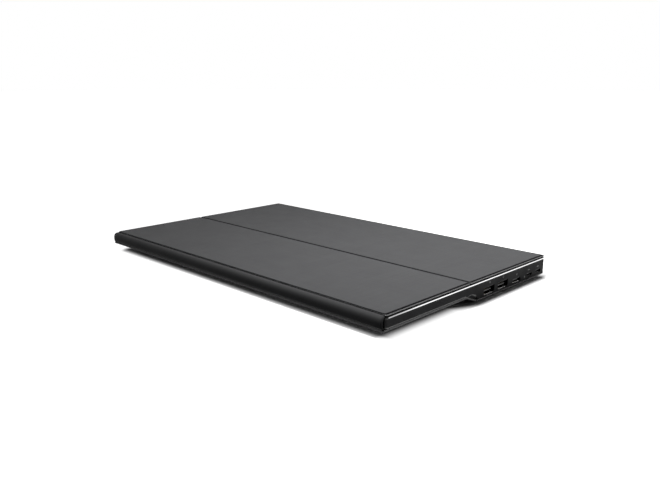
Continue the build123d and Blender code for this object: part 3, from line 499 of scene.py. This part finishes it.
# Circuit boards: glass-fibre boards with a green lacquer over copper tracks. The main board is screwed to
# standoffs, the timing board lies under the tray and the button board stands in two slotted posts.
track_input = [("Size", "Float", 0.002)]
board_tracks, tracks_in, tracks_out = make_group("board_tracks", track_input, pattern_outputs)
tracks_place = object_place(board_tracks)
track_feeds = {"Vector": tracks_place, "Scale": maths("DIVIDE", 1.0, tracks_in["Size"])}
track_cells = add_node(board_tracks, "ShaderNodeTexVoronoi", track_feeds, distance="MANHATTAN", feature="F1")
track_rings = maths("SINE", maths("MULTIPLY", track_cells.outputs["Distance"], 26.0))
track_lines = maths("GREATER_THAN", track_rings, 0.35)
track_cloud = noise_value(tracks_place, maths("MULTIPLY", tracks_in["Size"], 4.0))
wire(maths("MULTIPLY", track_lines, 0.5), tracks_out["Height"])
track_tone = maths("ADD", maths("MULTIPLY", track_lines, 0.55), track_cloud)
wire(maths("SUBTRACT", track_tone, 0.3), tracks_out["Tone"])
dress(["main_board", "timing_board", "button_board"], surface(
    "board_lacquer", board_tracks, {"Size": 0.0045},
    (0.006, 0.055, 0.022), (0.020, 0.130, 0.050), bump=0.00002, rough=(0.25, 0.45),
    Coat_Weight=0.3,
))

# Parts on the boards: a scaler chip in black resin under a tinned shield can, grey ferrite coils and
# capacitor cans, a beige cable socket, four tact switches, and two flat cables in amber film.
dress(["scaler_chip"], surface(
    "chip_resin", moulded_grain, {"Size": 0.0002},
    (0.012, 0.012, 0.013), (0.030, 0.030, 0.031), bump=0.00001, rough=(0.45, 0.65),
    edges=box_edges("scaler_chip", 0.0005, (0.06, 0.06, 0.06), 0.6),
))
dress(["board_shield"], surface(
    "shield_tin", rolled_lines, {"Size": 0.0003, "Stretch": (0.1, 1.0, 1.0)},
    (0.52, 0.53, 0.54), (0.72, 0.72, 0.72), bump=0.000006, rough=(0.25, 0.42),
    edges=box_edges("board_shield", 0.0006, (0.85, 0.85, 0.85), 0.6), Metallic=1.0,
))
dress(["power_parts"], surface(
    "ferrite_grey", moulded_grain, {"Size": 0.0005},
    (0.055, 0.056, 0.060), (0.120, 0.120, 0.125), bump=0.00003, rough=(0.5, 0.75),
))
dress(["board_sockets", "button_switches"], surface(
    "socket_beige", moulded_grain, {"Size": 0.0003},
    (0.42, 0.38, 0.30), (0.56, 0.52, 0.43), bump=0.00001, rough=(0.4, 0.6),
))
dress(["drive_films", "display_cable", "button_ribbon"], surface(
    "film_amber", rolled_lines, {"Size": 0.0006, "Stretch": (1.0, 0.05, 0.05)},
    (0.26, 0.105, 0.016), (0.42, 0.190, 0.035), bump=0.000008, rough=(0.2, 0.4),
    Coat_Weight=0.4,
))

# Sockets in the right wall: shells of folded sheet soldered to the main board, nickel for the three video
# sockets and dark for the two power ones, each with a resin insert and a tongue of gilt contacts.
across_socket = {"Size": 0.0002, "Stretch": (1.0, 0.08, 0.4)}
socket_nickel = surface(
    "socket_nickel", rolled_lines, across_socket,
    (0.78, 0.78, 0.78), (0.92, 0.92, 0.91), bump=0.000004, rough=(0.12, 0.26),
    Metallic=1.0,
)
socket_low, socket_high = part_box("video_port_1")
lip_height, lip_depth = 0.0009, 0.0022
socket_x, _, socket_z = axes(object_place(socket_nickel.node_tree))
# Painted shade: the nickel shells are painted near-black above a low front lip and deeper inside, so only the
# lip stays bright.
socket_upper_shade = maths("GREATER_THAN", socket_z, socket_low.z + lip_height)
socket_inside_shade = maths("LESS_THAN", socket_x, socket_high.x - lip_depth)
tinted(socket_nickel, maths("MAXIMUM", socket_upper_shade, socket_inside_shade), (0.02, 0.02, 0.02))
dress(["video_port_1", "video_port_2", "mini_video_port"], socket_nickel)
dress(["power_port_1", "power_port_2"], surface(
    "socket_dark", rolled_lines, across_socket,
    (0.035, 0.035, 0.036), (0.070, 0.070, 0.070), bump=0.000004, rough=(0.25, 0.42),
    Metallic=1.0,
))
dress(["mini_video_port_insert", "power_port_1_insert", "power_port_2_insert"], surface(
    "insert_resin", moulded_grain, {"Size": 0.00025},
    (0.030, 0.030, 0.031), (0.055, 0.055, 0.056), bump=0.00001, rough=(0.4, 0.6),
    Specular_IOR_Level=0.3,
))
# Painted highlight: the video inserts are a lighter grey than the other inserts, standing in for the lit
# front of the tongue.
insert_grey = surface(
    "insert_grey", moulded_grain, {"Size": 0.00025},
    (0.12, 0.12, 0.12), (0.18, 0.18, 0.18), bump=0.00001, rough=(0.4, 0.6),
    Specular_IOR_Level=0.1,
)
tongue_low, tongue_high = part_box("video_port_1_insert")
insert_z = axes(object_place(insert_grey.node_tree))["Z"]
# Painted shade: above their middle the video inserts are painted near-black.
insert_upper_shade = maths("GREATER_THAN", insert_z, (tongue_low.z + tongue_high.z) / 2)
tinted(insert_grey, insert_upper_shade, (0.006, 0.006, 0.006))
dress(["video_port_1_insert", "video_port_2_insert"], insert_grey)

contact_gilt = surface(
    "contact_gilt", rolled_lines, {"Size": 0.0002, "Stretch": (0.2, 1.0, 1.0)},
    (0.62, 0.42, 0.16), (0.85, 0.62, 0.28), bump=0.000003, rough=(0.18, 0.34),
    Metallic=1.0,
)
contact_inputs = [
    ("Geometry", "Geometry", None),
    ("Count", "Int", 10),
    ("Pitch", "Float", 0.001),
    ("Start", "Vector", (0, 0, 0)),
    ("Contact", "Vector", (0.006, 0.0005, 0.0001)),
    ("Metal", "Material", None),
]
contact_row, row_in, row_out = make_group(
    "contact_row", contact_inputs, [("Geometry", "Geometry")], "GeometryNodeTree"
)
contact_step = add_node(contact_row, "ShaderNodeCombineXYZ", {"Y": row_in["Pitch"]}).outputs[0]
line_feeds = {"Count": row_in["Count"], "Offset": contact_step, "Start Location": row_in["Start"]}
contact_line = add_node(contact_row, "GeometryNodeMeshLine", line_feeds, mode="OFFSET")
contact_cube = add_node(contact_row, "GeometryNodeMeshCube", {"Size": row_in["Contact"]})
set_feeds = {"Points": contact_line.outputs["Mesh"], "Instance": contact_cube.outputs["Mesh"]}
contact_set = add_node(contact_row, "GeometryNodeInstanceOnPoints", set_feeds)
contact_real = add_node(contact_row, "GeometryNodeRealizeInstances", {0: contact_set.outputs[0]})
paint_feeds = {"Geometry": contact_real.outputs[0], "Material": row_in["Metal"]}
wire(add_node(contact_row, "GeometryNodeSetMaterial", paint_feeds).outputs[0], row_out[0])


def grown(name, tree, inputs):
    """The plain mesh that a Geometry Nodes tree makes with the given inputs."""
    carrier = placed(name, bpy.data.meshes.new(name + "_carrier"))
    modifier = carrier.modifiers.new("grow", "NODES")
    modifier.node_group = tree
    for item in tree.interface.items_tree:
        if item.in_out == "INPUT" and item.name in inputs:
            modifier[item.identifier] = inputs[item.name]
    bpy.context.view_layer.update()
    shown = carrier.evaluated_get(bpy.context.evaluated_depsgraph_get())
    mesh = bpy.data.meshes.new_from_object(shown)
    carrier.modifiers.clear()
    bpy.data.objects.remove(carrier)
    return mesh


# Each row: insert node, contacts on the top face, contacts below, pitch, contact width, tongue thickness
contact_rows = [
    ("video_port_1_insert", 10, 9, 1.0, 0.5, 1.4),
    ("video_port_2_insert", 10, 9, 1.0, 0.5, 1.4),
    ("mini_video_port_insert", 10, 9, 0.8, 0.4, 0.8),
    ("power_port_1_insert", 5, 0, 0.65, 0.35, 0.6),
    ("power_port_2_insert", 5, 0, 0.65, 0.35, 0.6),
]
contact_length, contact_thickness, contact_back = 0.0068, 0.00012, 0.0038
contact_shape = bmesh.new()
for insert_name, above, below, pitch, contact_width, tongue in contact_rows:
    low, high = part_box(insert_name)
    middle = (low + high) / 2
    for count, face in [(above, 1), (below, -1)]:
        if not count:
            continue
        row_y = middle.y - (count - 1) * pitch / 2000
        row_inputs = {
            "Count": count,
            "Pitch": pitch / 1000,
            "Start": (high.x - contact_back, row_y, middle.z + face * (tongue / 2000 + 0.00002)),
            "Contact": (contact_length, contact_width / 1000, contact_thickness),
            "Metal": contact_gilt,
        }
        row_mesh = grown(insert_name + "_row", contact_row, row_inputs)
        contact_shape.from_mesh(row_mesh)
        bpy.data.meshes.remove(row_mesh)
contact_mesh = made_mesh("socket_contacts", contact_shape, contact_gilt)
linked("socket_contacts", contact_mesh, "monitor")

# Indicator: a clear light pipe from the main board, its polished end flush in the wall and slightly milky.
dress(["status_light"], surface(
    "light_pipe", moulded_grain, {"Size": 0.0002},
    (0.060, 0.064, 0.066), (0.100, 0.104, 0.106), bump=0.000004, rough=(0.15, 0.3),
    Specular_IOR_Level=0.4,
))

# Buttons: four oblong caps of black ABS that travel half a millimetre in the left wall, with rubbed
# crests. Each carries a small printed mark: a list, a minus, a plus, and a ring with a bar for power.
button_nodes = ["menu_button", "minus_button", "plus_button", "power_button"]
for button_name in button_nodes:
    dress([button_name], surface(
        button_name + "_black", moulded_grain, {"Size": 0.00025},
        (0.010, 0.010, 0.011), (0.022, 0.022, 0.023), bump=0.00002, rough=(0.32, 0.5),
        edges=box_edges(button_name, 0.0007, (0.06, 0.06, 0.06), 0.7), Specular_IOR_Level=0.12,
    ))

print_grey = surface(
    "print_grey", moulded_grain, {"Size": 0.0003},
    (0.13, 0.13, 0.135), (0.24, 0.24, 0.24), bump=0.000004, rough=(0.5, 0.7),
    Specular_IOR_Level=0.3,
)


def thin_marks(name, x_face, outward, shapes, body):
    """Printed marks on a wall that faces along X: each shape is a list of (y, z) points in millimetres."""
    thickness = 0.03
    marks = bmesh.new()
    for points in shapes:
        near_loop, far_loop = [
            [marks.verts.new((x / 1000, y / 1000, z / 1000)) for y, z in points]
            for x in (x_face, x_face + outward * thickness)
        ]
        marks.faces.new(near_loop)
        marks.faces.new(far_loop)
        add_walls(marks, near_loop, far_loop)
    bmesh.ops.recalc_face_normals(marks, faces=marks.faces)
    linked(name, made_mesh(name, marks, print_grey), body)


def bar(y, z, width, height):
    """An upright rectangle of print round its middle."""
    return [(y + i * width / 2, z + j * height / 2) for i, j in [(-1, -1), (1, -1), (1, 1), (-1, 1)]]


def arc(y, z, radius, start, end, parts):
    """Points along an arc round (y, z), angles in degrees from the first axis towards the second."""
    turns = [math.radians(start + (end - start) * i / parts) for i in range(parts + 1)]
    return [(y + radius * math.cos(turn), z + radius * math.sin(turn)) for turn in turns]


def power_mark(y, z):
    """An open ring, as a row of short bent strips, with a bar in its gap."""
    inner, outer = [arc(y, z, radius, 125, 415, 16) for radius in (0.75 - 0.2, 0.75)]
    strips = [[inner[i], outer[i], outer[i + 1], inner[i + 1]] for i in range(16)]
    return strips + [bar(y, z + 0.55, 0.22, 0.75)]


for button_name in button_nodes:
    low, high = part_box(button_name)
    y, z = (low.y + high.y) * 500, (low.z + high.z) * 500
    cap_marks = {
        "menu_button": [bar(y, z + step, 1.7, 0.2) for step in (-0.5, 0.0, 0.5)],
        "minus_button": [bar(y, z, 1.5, 0.24)],
        "plus_button": [bar(y, z, 1.5, 0.24), bar(y, z + 0.44, 0.24, 0.63), bar(y, z - 0.44, 0.24, 0.63)],
        "power_button": power_mark(y, z),
    }[button_name]
    thin_marks(button_name + "_mark", low.x * 1000 - 0.005, -1, cap_marks, button_name)

# Marks over the sockets: small grey prints on the right wall, a screen on its stand over the three video
# sockets and a plug over the two power sockets.
screen_bars = [(0, 0.5, 1.7, 0.2), (0, -0.5, 1.7, 0.2), (-0.75, 0, 0.2, 0.8), (0.75, 0, 0.2, 0.8)]
screen_bars.append((0, -0.85, 0.9, 0.2))
plug_bars = [(-1.2, 0, 1.5, 0.3), (0.1, 0, 1.0, 0.9), (1.0, 0.25, 0.7, 0.2), (1.0, -0.25, 0.7, 0.2)]
socket_marks = []
for y, z, bars in [
    (20.4, 11.6, screen_bars), (38.7, 11.7, screen_bars), (58.9, 9.4, screen_bars),
    (77.0, 9.2, plug_bars), (91.2, 9.2, plug_bars),
]:
    socket_marks += [bar(y + step_y, z + step_z, width, height) for step_y, step_z, width, height in bars]
wall_x = 161.005
thin_marks("socket_marks", wall_x, 1, socket_marks, "monitor")

# Panel module: dark glass over a diffuser, prism film, clear guide, white reflector and light bar, held in
# a white resin frame and a folded metal tray, and carried on a zinc-plated steel plate.
dress(["lcd_cell"], surface(
    "glass_dark", moulded_grain, {"Size": 0.0009},
    (0.004, 0.004, 0.005), (0.007, 0.007, 0.009), bump=0.000001, rough=(0.06, 0.20),
    Specular_IOR_Level=0.5, Coat_Weight=0.6,
))
dress(["diffuser_sheet", "prism_sheet", "reflector_sheet"], surface(
    "film_white", moulded_grain, {"Size": 0.0006},
    (0.74, 0.74, 0.75), (0.86, 0.86, 0.86), bump=0.000006, rough=(0.35, 0.55),
))
dress(["light_guide"], surface(
    "guide_clear", moulded_grain, {"Size": 0.0015},
    (0.70, 0.74, 0.76), (0.84, 0.87, 0.88), bump=0.000004, rough=(0.08, 0.2),
    Transmission_Weight=0.6,
))
dress(["light_bar"], surface(
    "bar_yellow", rolled_lines, {"Size": 0.0012, "Stretch": (1.0, 0.2, 0.2)},
    (0.62, 0.56, 0.28), (0.80, 0.78, 0.55), bump=0.00001, rough=(0.35, 0.5),
))
dress(["panel_frame"], surface(
    "frame_white", moulded_grain, {"Size": 0.0003},
    (0.62, 0.62, 0.61), (0.76, 0.76, 0.75), bump=0.00001, rough=(0.45, 0.6),
))
dress(["panel_tray"], surface(
    "tray_alloy", rolled_lines, {"Size": 0.0004, "Stretch": (0.05, 1.0, 1.0)},
    (0.50, 0.51, 0.52), (0.68, 0.68, 0.68), bump=0.000006, rough=(0.3, 0.45),
    edges=box_edges("panel_tray", 0.0008, (0.82, 0.82, 0.82), 0.6), Metallic=1.0,
))
dress(["support_plate"], surface(
    "plate_zinc", rolled_lines, {"Size": 0.0006, "Stretch": (1.0, 0.08, 1.0)},
    (0.40, 0.41, 0.42), (0.56, 0.56, 0.55), bump=0.000008, rough=(0.32, 0.5),
    edges=box_edges("support_plate", 0.0008, (0.7, 0.7, 0.7), 0.6), Metallic=1.0,
))

# Magnets: nickel-plated bars, glued under the lip of the front frame and into the far panel's board.
dress(["catch_magnets", "cover_magnets"], surface(
    "magnet_nickel", rolled_lines, {"Size": 0.0003, "Stretch": (0.3, 1.0, 1.0)},
    (0.45, 0.46, 0.46), (0.62, 0.62, 0.61), bump=0.000004, rough=(0.15, 0.32),
    Metallic=1.0,
))

# Boards, adhesive and core: stiff grey board with a short paper fibre, cut to size and glued between skin
# and lining, a dark adhesive sheet over the flap's board, and a black foam core in the spine.
dress(["near_panel_board", "far_panel_board", "flap_board"], surface(
    "board_card", moulded_grain, {"Size": 0.0006},
    (0.20, 0.20, 0.19), (0.32, 0.31, 0.30), bump=0.00003, rough=(0.8, 0.95),
    Specular_IOR_Level=0.2,
))
dress(["flap_tape"], surface(
    "tape_dark", moulded_grain, {"Size": 0.0004},
    (0.012, 0.012, 0.012), (0.024, 0.024, 0.024), bump=0.00001, rough=(0.5, 0.7),
))
dress(["spine_core"], surface(
    "core_foam", moulded_grain, {"Size": 0.0009},
    (0.045, 0.045, 0.047), (0.085, 0.085, 0.087), bump=0.00006, rough=(0.85, 0.98),
    Specular_IOR_Level=0.15,
))


# Back flap: a grey coated sheet wrapped round the flap's board and stuck under the thin half. Its softly
# rounded edge is lighter than the rest and shows all the way from the spine to the ramp.
def box_mm(node_name):
    """The low and high corners of a node's box, in millimetres."""
    return [corner * 1000 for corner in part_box(node_name)]


def loop(x_half, y_low, y_high, z, near_radius=0.0, far_radius=0.0):
    """A closed ring of points at one height, round a rectangle with rounded near and far corners."""
    corners = [
        (x_half, y_low, near_radius, 1, -1, -90), (x_half, y_high, far_radius, 1, 1, 0),
        (-x_half, y_high, far_radius, -1, 1, 90), (-x_half, y_low, near_radius, -1, -1, 180),
    ]
    sharpest, corner_parts, side_parts = 0.02, 6, [12, 28, 12, 28]
    arcs = []
    for x, y, radius, side_x, side_y, start in corners:
        bend = max(radius, sharpest)
        arcs.append(arc(x - side_x * bend, y - side_y * bend, bend, start, start + 90, corner_parts))
    points = []
    for k, parts in enumerate(side_parts):
        points += arcs[k]
        begin, finish = arcs[k][-1], arcs[(k + 1) % 4][0]
        for i in range(1, parts):
            share = i / parts
            points.append(tuple(start + (end - start) * share for start, end in zip(begin, finish)))
    return [(x, y, z) for x, y in points]


def lofted(name, rings, material, body, node_name, marks={}):
    """A closed piece through rings, which takes the place of a CAD node."""
    piece = linked(name, loft(name, rings, material, marks), body)
    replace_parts(piece, node_name)
    return piece


flap_low, flap_high = box_mm("flap_skin")
inner_low, inner_high = box_mm("flap_board")
ramp_lean, pocket_gap = 14.7 / 6.1, 0.35


def flap_loop(inset, z, side=flap_high.x, y_near=flap_low.y, y_far=flap_high.y):
    """A ring of the flap whose far end leans like the ramp."""
    y_lean = y_far - (z - flap_low.z) * ramp_lean
    return loop(side - inset, y_near + inset, y_lean - inset, z, 0.5, 0.3)


pocket = (inner_high.x, inner_low.y, flap_high.y - pocket_gap)
flap_rings = [flap_loop(0.0, inner_low.z, *pocket), flap_loop(0.0, flap_high.z, *pocket)]
for inset, drop in [(0.1, 0.0), (0.02, 0.08), (0.0, 0.25)]:
    flap_rings.append(flap_loop(inset, flap_high.z - drop))
for inset, rise in [(0.0, 0.38), (0.05, 0.2), (0.15, 0.08), (0.35, 0.01), (0.7, 0.0)]:
    flap_rings.append(flap_loop(inset, flap_low.z + rise))
flap_grey = surface(
    "flap_grey", moulded_grain, {"Size": 0.0006},
    (0.110, 0.110, 0.112), (0.160, 0.160, 0.162), bump=0.00003, rough=(0.6, 0.8),
    edges=box_edges("flap_skin", 0.0007, (0.26, 0.26, 0.26), 0.6), Specular_IOR_Level=0.1,
)
lofted("flap_cover", flap_rings, flap_grey, "monitor", "flap_skin")

# Base strip: the flap's own sheet carried on under the spine and glued to it. It curves up towards the front,
# and its rounded cut edge shows as a thin light line under the leather. It is painted in a darker copy of
# the flap's grey, as painted shade.
base_low, base_high = box_mm("spine_base")
front_rise, rise_power = 1.4, 1.6


def base_loop(inset, z_back):
    """A ring of the base strip that rises from its back edge to its front edge."""
    ring = loop(base_high.x - inset, base_low.y + inset, base_high.y - inset * 0.5, 0.0, 0.3, 0.3)
    depth = base_high.y - base_low.y
    return [(x, y, z_back + front_rise * ((base_high.y - y) / depth) ** rise_power) for x, y, _ in ring]


base_rings = [base_loop(inset, base_high.z - drop) for inset, drop in [(0.5, 0.0), (0.06, 0.04), (0.0, 0.2)]]
base_rings += [base_loop(inset, base_low.z + rise) for inset, rise in [(0.0, 0.3), (0.1, 0.1), (0.4, 0.0)]]
# Painted shade: the same sheet as the flap, in a darker copy of the flap's grey.
base_grey_shaded = surface(
    "base_grey_shaded", moulded_grain, {"Size": 0.0006},
    (0.022, 0.022, 0.023), (0.034, 0.034, 0.035), bump=0.00003, rough=(0.6, 0.8),
    Specular_IOR_Level=0.1,
)
lofted("base_cover", base_rings, base_grey_shaded, "spine", "spine_base")

# Spine: black coated leather drawn over the formed core, glued and turned in at both ends. Its D-shaped
# section wraps the near wall, and a painted highlight lightens the pebbled leather towards its crest.
leather_grain, leather_in, leather_out = make_group("leather_grain", size_input, pattern_outputs)
leather_place = object_place(leather_grain)
pebble_feeds = {"Vector": leather_place, "Scale": maths("DIVIDE", 1.0, leather_in["Size"])}
pebbles = add_node(leather_grain, "ShaderNodeTexVoronoi", pebble_feeds, feature="SMOOTH_F1")
pebbles = pebbles.outputs["Distance"]
leather_wrinkle = noise_value(leather_place, maths("MULTIPLY", leather_in["Size"], 3.0), 4.0)
leather_height = maths("ADD", maths("SUBTRACT", 1.0, pebbles), maths("MULTIPLY", leather_wrinkle, 0.7))
wire(leather_height, leather_out["Height"])
leather_patch = noise_value(leather_place, maths("MULTIPLY", leather_in["Size"], 40.0))
wire(maths("ADD", maths("MULTIPLY", pebbles, -0.5), leather_patch), leather_out["Tone"])

spine_low, spine_high = box_mm("spine_skin")
y_back, y_lip = spine_low.y, spine_high.y
z_foot, z_crown = spine_low.z, spine_high.z
foot_radius, crown_radius, hollow_radius = 1.6, 3.4, 3.0
spine_profile = (
    [(y_lip - 0.75, z_foot), (y_lip - 1.5, z_foot + 0.25), (y_lip - 2.2, z_foot + 0.75)]
    + arc(y_back + foot_radius, z_foot + front_rise + foot_radius, foot_radius, 258, 180, 8)
    + [(y_back - 0.05, z_foot + 3.6), (y_back - 0.08, z_foot + 4.4), (y_back - 0.05, z_foot + 5.5)]
    + arc(y_back + crown_radius, z_crown - crown_radius, crown_radius, 180, 96, 12)
    + [(y_lip - 0.25, z_crown), (y_lip - 0.05, z_crown - 0.05)]
    + [(y_lip, z_crown - 0.2), (y_lip, z_crown - 0.85)]
    + arc(y_back + 5.3, z_crown - 3.95, hollow_radius, 114, 180, 8)
    + arc(y_back + 5.3, z_foot + 3.8, hollow_radius, 180, 229, 6)
    + [(y_lip - 0.75, z_foot + 0.86)]
)


def drawn_in(profile, amount):
    """The profile moved inwards by an amount along its own normals."""
    moved = []
    for i, (y, z) in enumerate(profile):
        before, after = profile[i - 1], profile[(i + 1) % len(profile)]
        along_y, along_z = after[0] - before[0], after[1] - before[1]
        length = math.hypot(along_y, along_z)
        moved.append((y + along_z / length * amount, z - along_y / length * amount))
    return moved


spine_half, end_length = spine_high.x, 0.8
end_insets = [(0.0, 0.55), (0.12, 0.28), (0.35, 0.1), (end_length, 0.0)]
spine_stations = [(-spine_half + step, inset) for step, inset in end_insets]
plain_length, plain_parts = 2 * spine_half - 2 * end_length, 60
for i in range(1, plain_parts):
    spine_stations.append((-spine_half + end_length + plain_length * i / plain_parts, 0.0))
spine_stations += [(-x, inset) for x, inset in reversed(spine_stations[:4])]
bulge, bulge_length, bulge_width = 0.07, 23.0, 6.0
spine_rings = []
for x, inset in spine_stations:
    ring = []
    for y, z in drawn_in(spine_profile, inset):
        unevenness = bulge * noise.noise(Vector((x / bulge_length, y / bulge_width, z / bulge_width)))
        outside = 1.0 if y < y_lip - 2.0 else 0.0
        ring.append((x, y + unevenness * outside, z))
    spine_rings.append(ring)
spine_black = surface(
    "spine_black", leather_grain, {"Size": 0.0006},
    (0.0025, 0.0025, 0.0028), (0.0070, 0.0070, 0.0075), bump=0.00005, rough=(0.36, 0.52),
    Specular_IOR_Level=0.02,
)
# Painted highlight: the leather is lightened towards the crest, most at the top.
spine_z = axes(object_place(spine_black.node_tree))["Z"]
highlight_height, highlight_power = 7.0, 3.4
spine_crest_highlight = mapped(spine_z, (z_crown - highlight_height) / 1000, z_crown / 1000)
spine_crest_highlight = maths("POWER", spine_crest_highlight, highlight_power)
tinted(spine_black, spine_crest_highlight, (0.10, 0.10, 0.102))
lofted("spine_cover", spine_rings, spine_black, "spine", "spine_skin")

# Cover panels: a charcoal woven cloth laminated over each board and pressed down into a thin rim round the
# free sides. The cloth shows faint crossing threads. Painted shade darkens the step where it folds up to the
# field, and a painted highlight lightens the rim's outer face.
cross_weave, weave_in, weave_out = make_group("cross_weave", [("Pitch", "Float", 0.0005)], pattern_outputs)
weave_place = object_place(cross_weave)
weave_x, weave_y, _ = axes(weave_place)
weave_scale = maths("DIVIDE", math.pi, weave_in["Pitch"])
warp_wave = maths("SINE", maths("MULTIPLY", weave_x, weave_scale))
weft_wave = maths("SINE", maths("MULTIPLY", weave_y, weave_scale))
crossing = maths("MULTIPLY", warp_wave, weft_wave)
thread_round = maths("MAXIMUM", maths("ABSOLUTE", warp_wave), maths("ABSOLUTE", weft_wave))
weave_height = maths("ADD", maths("MULTIPLY", crossing, 0.5), thread_round)
slubs = maths("ADD", *[
    noise_value(vector_maths("MULTIPLY", weave_place, stretch), 0.002, 3.0, 0.6)
    for stretch in [(1.0, 0.035, 0.0), (0.035, 1.0, 0.0)]
])
wire(maths("ADD", weave_height, maths("MULTIPLY", slubs, 0.9)), weave_out["Height"])
weave_tone = maths("ADD", maths("MULTIPLY", crossing, 0.12), slubs)
wire(maths("SUBTRACT", weave_tone, 0.5), weave_out["Tone"])
cover_cloth = surface(
    "cover_cloth", cross_weave, {"Pitch": 0.0005},
    (0.112, 0.113, 0.116), (0.136, 0.137, 0.141), bump=0.00004, rough=(0.62, 0.72),
    Specular_IOR_Level=0.1,
)
# Painted light: the first mark is painted shade on the step up to the field, the second a painted highlight
# on the rim's outer face.
for attribute, colour in [("fold_shade", (0.008, 0.008, 0.009)), ("wear_and_painted_light", (0.31, 0.31, 0.315))]:
    cloth_mark = add_node(cover_cloth.node_tree, "ShaderNodeAttribute", attribute_name=attribute)
    tinted(cover_cloth, cloth_mark.outputs["Fac"], colour)

# Each panel: its name and the radii of its corners at the spine end and at the free end
panel_corners = [("near_panel", 1.5, 0.0), ("far_panel", 0.0, 1.5)]
# Share of each ring in the painted shade and the painted highlight, from the board rings outwards.
cloth_marks = {
    "fold_shade": [0, 0, 0, 0, 0, 0, 0.2, 1, 1, 1, 1, 0.85, 0.4, 0, 0, 0, 0, 0],
    "wear_and_painted_light": [0, 0, 0.8, 1, 1, 0.8, 0.3, 0, 0, 0, 0, 0, 0, 0, 0, 0, 0, 0],
}
for panel, near, far in panel_corners:
    low, high = box_mm(panel + "_skin")
    board_low, board_high = box_mm(panel + "_board")
    z_rim, z_top, board_gap = high.z - 0.65, high.z, 0.35
    cloth_rings = [loop(board_high.x, board_low.y, board_high.y, z, near, far) for z in (board_high.z, low.z)]
    for inset, z in [
        (0.05, low.z), (0.0, low.z + 0.06), (0.0, z_rim - 0.16),
        (0.05, z_rim - 0.05), (0.18, z_rim), (0.45, z_rim + 0.02),
    ]:
        inset_y = min(inset, 0.15)
        cloth_rings.append(loop(high.x - inset, low.y + inset_y, high.y - inset_y, z, near, far))
    field_x = board_high.x + board_gap
    field_y_low, field_y_high = board_low.y - board_gap, board_high.y + board_gap
    for inset, z in [
        (0.0, z_rim + 0.05), (0.02, z_rim + 0.3), (0.08, z_top - 0.2), (0.2, z_top - 0.07),
        (0.4, z_top - 0.01), (1.0, z_top), (3.0, z_top + 0.01), (8.0, z_top + 0.02),
        (18.0, z_top + 0.03), (34.0, z_top + 0.035),
    ]:
        cloth_rings.append(loop(field_x - inset, field_y_low + inset, field_y_high - inset, z, near, far))
    lofted(panel + "_cloth", cloth_rings, cover_cloth, panel, panel + "_skin", cloth_marks)

# Linings: thin black suede-like microfibre glued inside the cover, with a border line pressed in a few
# millimetres from the edge and a nap that is brushed unevenly.
lining_suede = surface(
    "lining_suede", leather_grain, {"Size": 0.0005},
    (0.016, 0.016, 0.017), (0.036, 0.036, 0.038), bump=0.00003, rough=(0.82, 0.97),
    Specular_IOR_Level=0.2, Sheen_Weight=0.35,
)
for panel, near, far in panel_corners:
    low, high = box_mm(panel + "_lining")
    lining_rings = []
    for inset, z in [
        (0.04, high.z), (0.0, high.z - 0.05), (0.0, low.z + 0.12), (0.08, low.z + 0.03), (0.3, low.z),
        (3.6, low.z), (3.8, low.z + 0.05), (4.1, low.z + 0.09), (4.4, low.z + 0.05), (4.6, low.z),
    ]:
        lining_rings.append(loop(high.x - inset, low.y + inset, high.y - inset, z, near, far))
    lofted(panel + "_suede", lining_rings, lining_suede, panel, panel + "_lining")


# Soft hinges: strips of the cover's own cloth and leather left without a board. The crease and the groove
# are pressed into round valleys, and the fold under the spine joins the base strip to the flap.
def hinge_strip(name, node_name, depth, thickness, material):
    """A strip along a whole fold: its top dips to a round bottom, its underside is nearly flat."""
    low, high = box_mm(node_name)
    steps, lengths = 14, 40
    top, bottom = [], []
    for i in range(steps + 1):
        share = i / steps
        y = low.y + (high.y - low.y) * share
        dip = depth * math.sin(math.pi * share) ** 0.8
        top.append((y, high.z - dip))
        bottom.append((y, max(low.z, high.z - dip - thickness) if 0 < i < steps else low.z))
    profile = top + bottom[::-1]
    stations = [-high.x + 2 * high.x * i / lengths for i in range(lengths + 1)]
    rings = [[(x, y, z) for y, z in profile] for x in stations]
    strip = lofted(name, rings, material, None, node_name)
    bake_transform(strip)


# Painted shade: the crease strip is the cover's own cloth in a much darker copy.
crease_cloth_shaded = surface(
    "crease_cloth_shaded", cross_weave, {"Pitch": 0.0005},
    (0.022, 0.022, 0.023), (0.045, 0.045, 0.047), bump=0.00004, rough=(0.6, 0.8),
    Specular_IOR_Level=0.15,
)
hinge_strip("crease_strip", "crease_web", 0.7, 0.9, crease_cloth_shaded)
groove_leather = surface(
    "groove_leather", leather_grain, {"Size": 0.0005},
    (0.004, 0.004, 0.004), (0.009, 0.009, 0.009), bump=0.00003, rough=(0.5, 0.7),
    Specular_IOR_Level=0.05,
)
hinge_strip("groove_strip", "groove_web", 0.3, 0.8, groove_leather)
hinge_strip("base_fold", "spine_web", 0.08, 0.32, flap_grey)
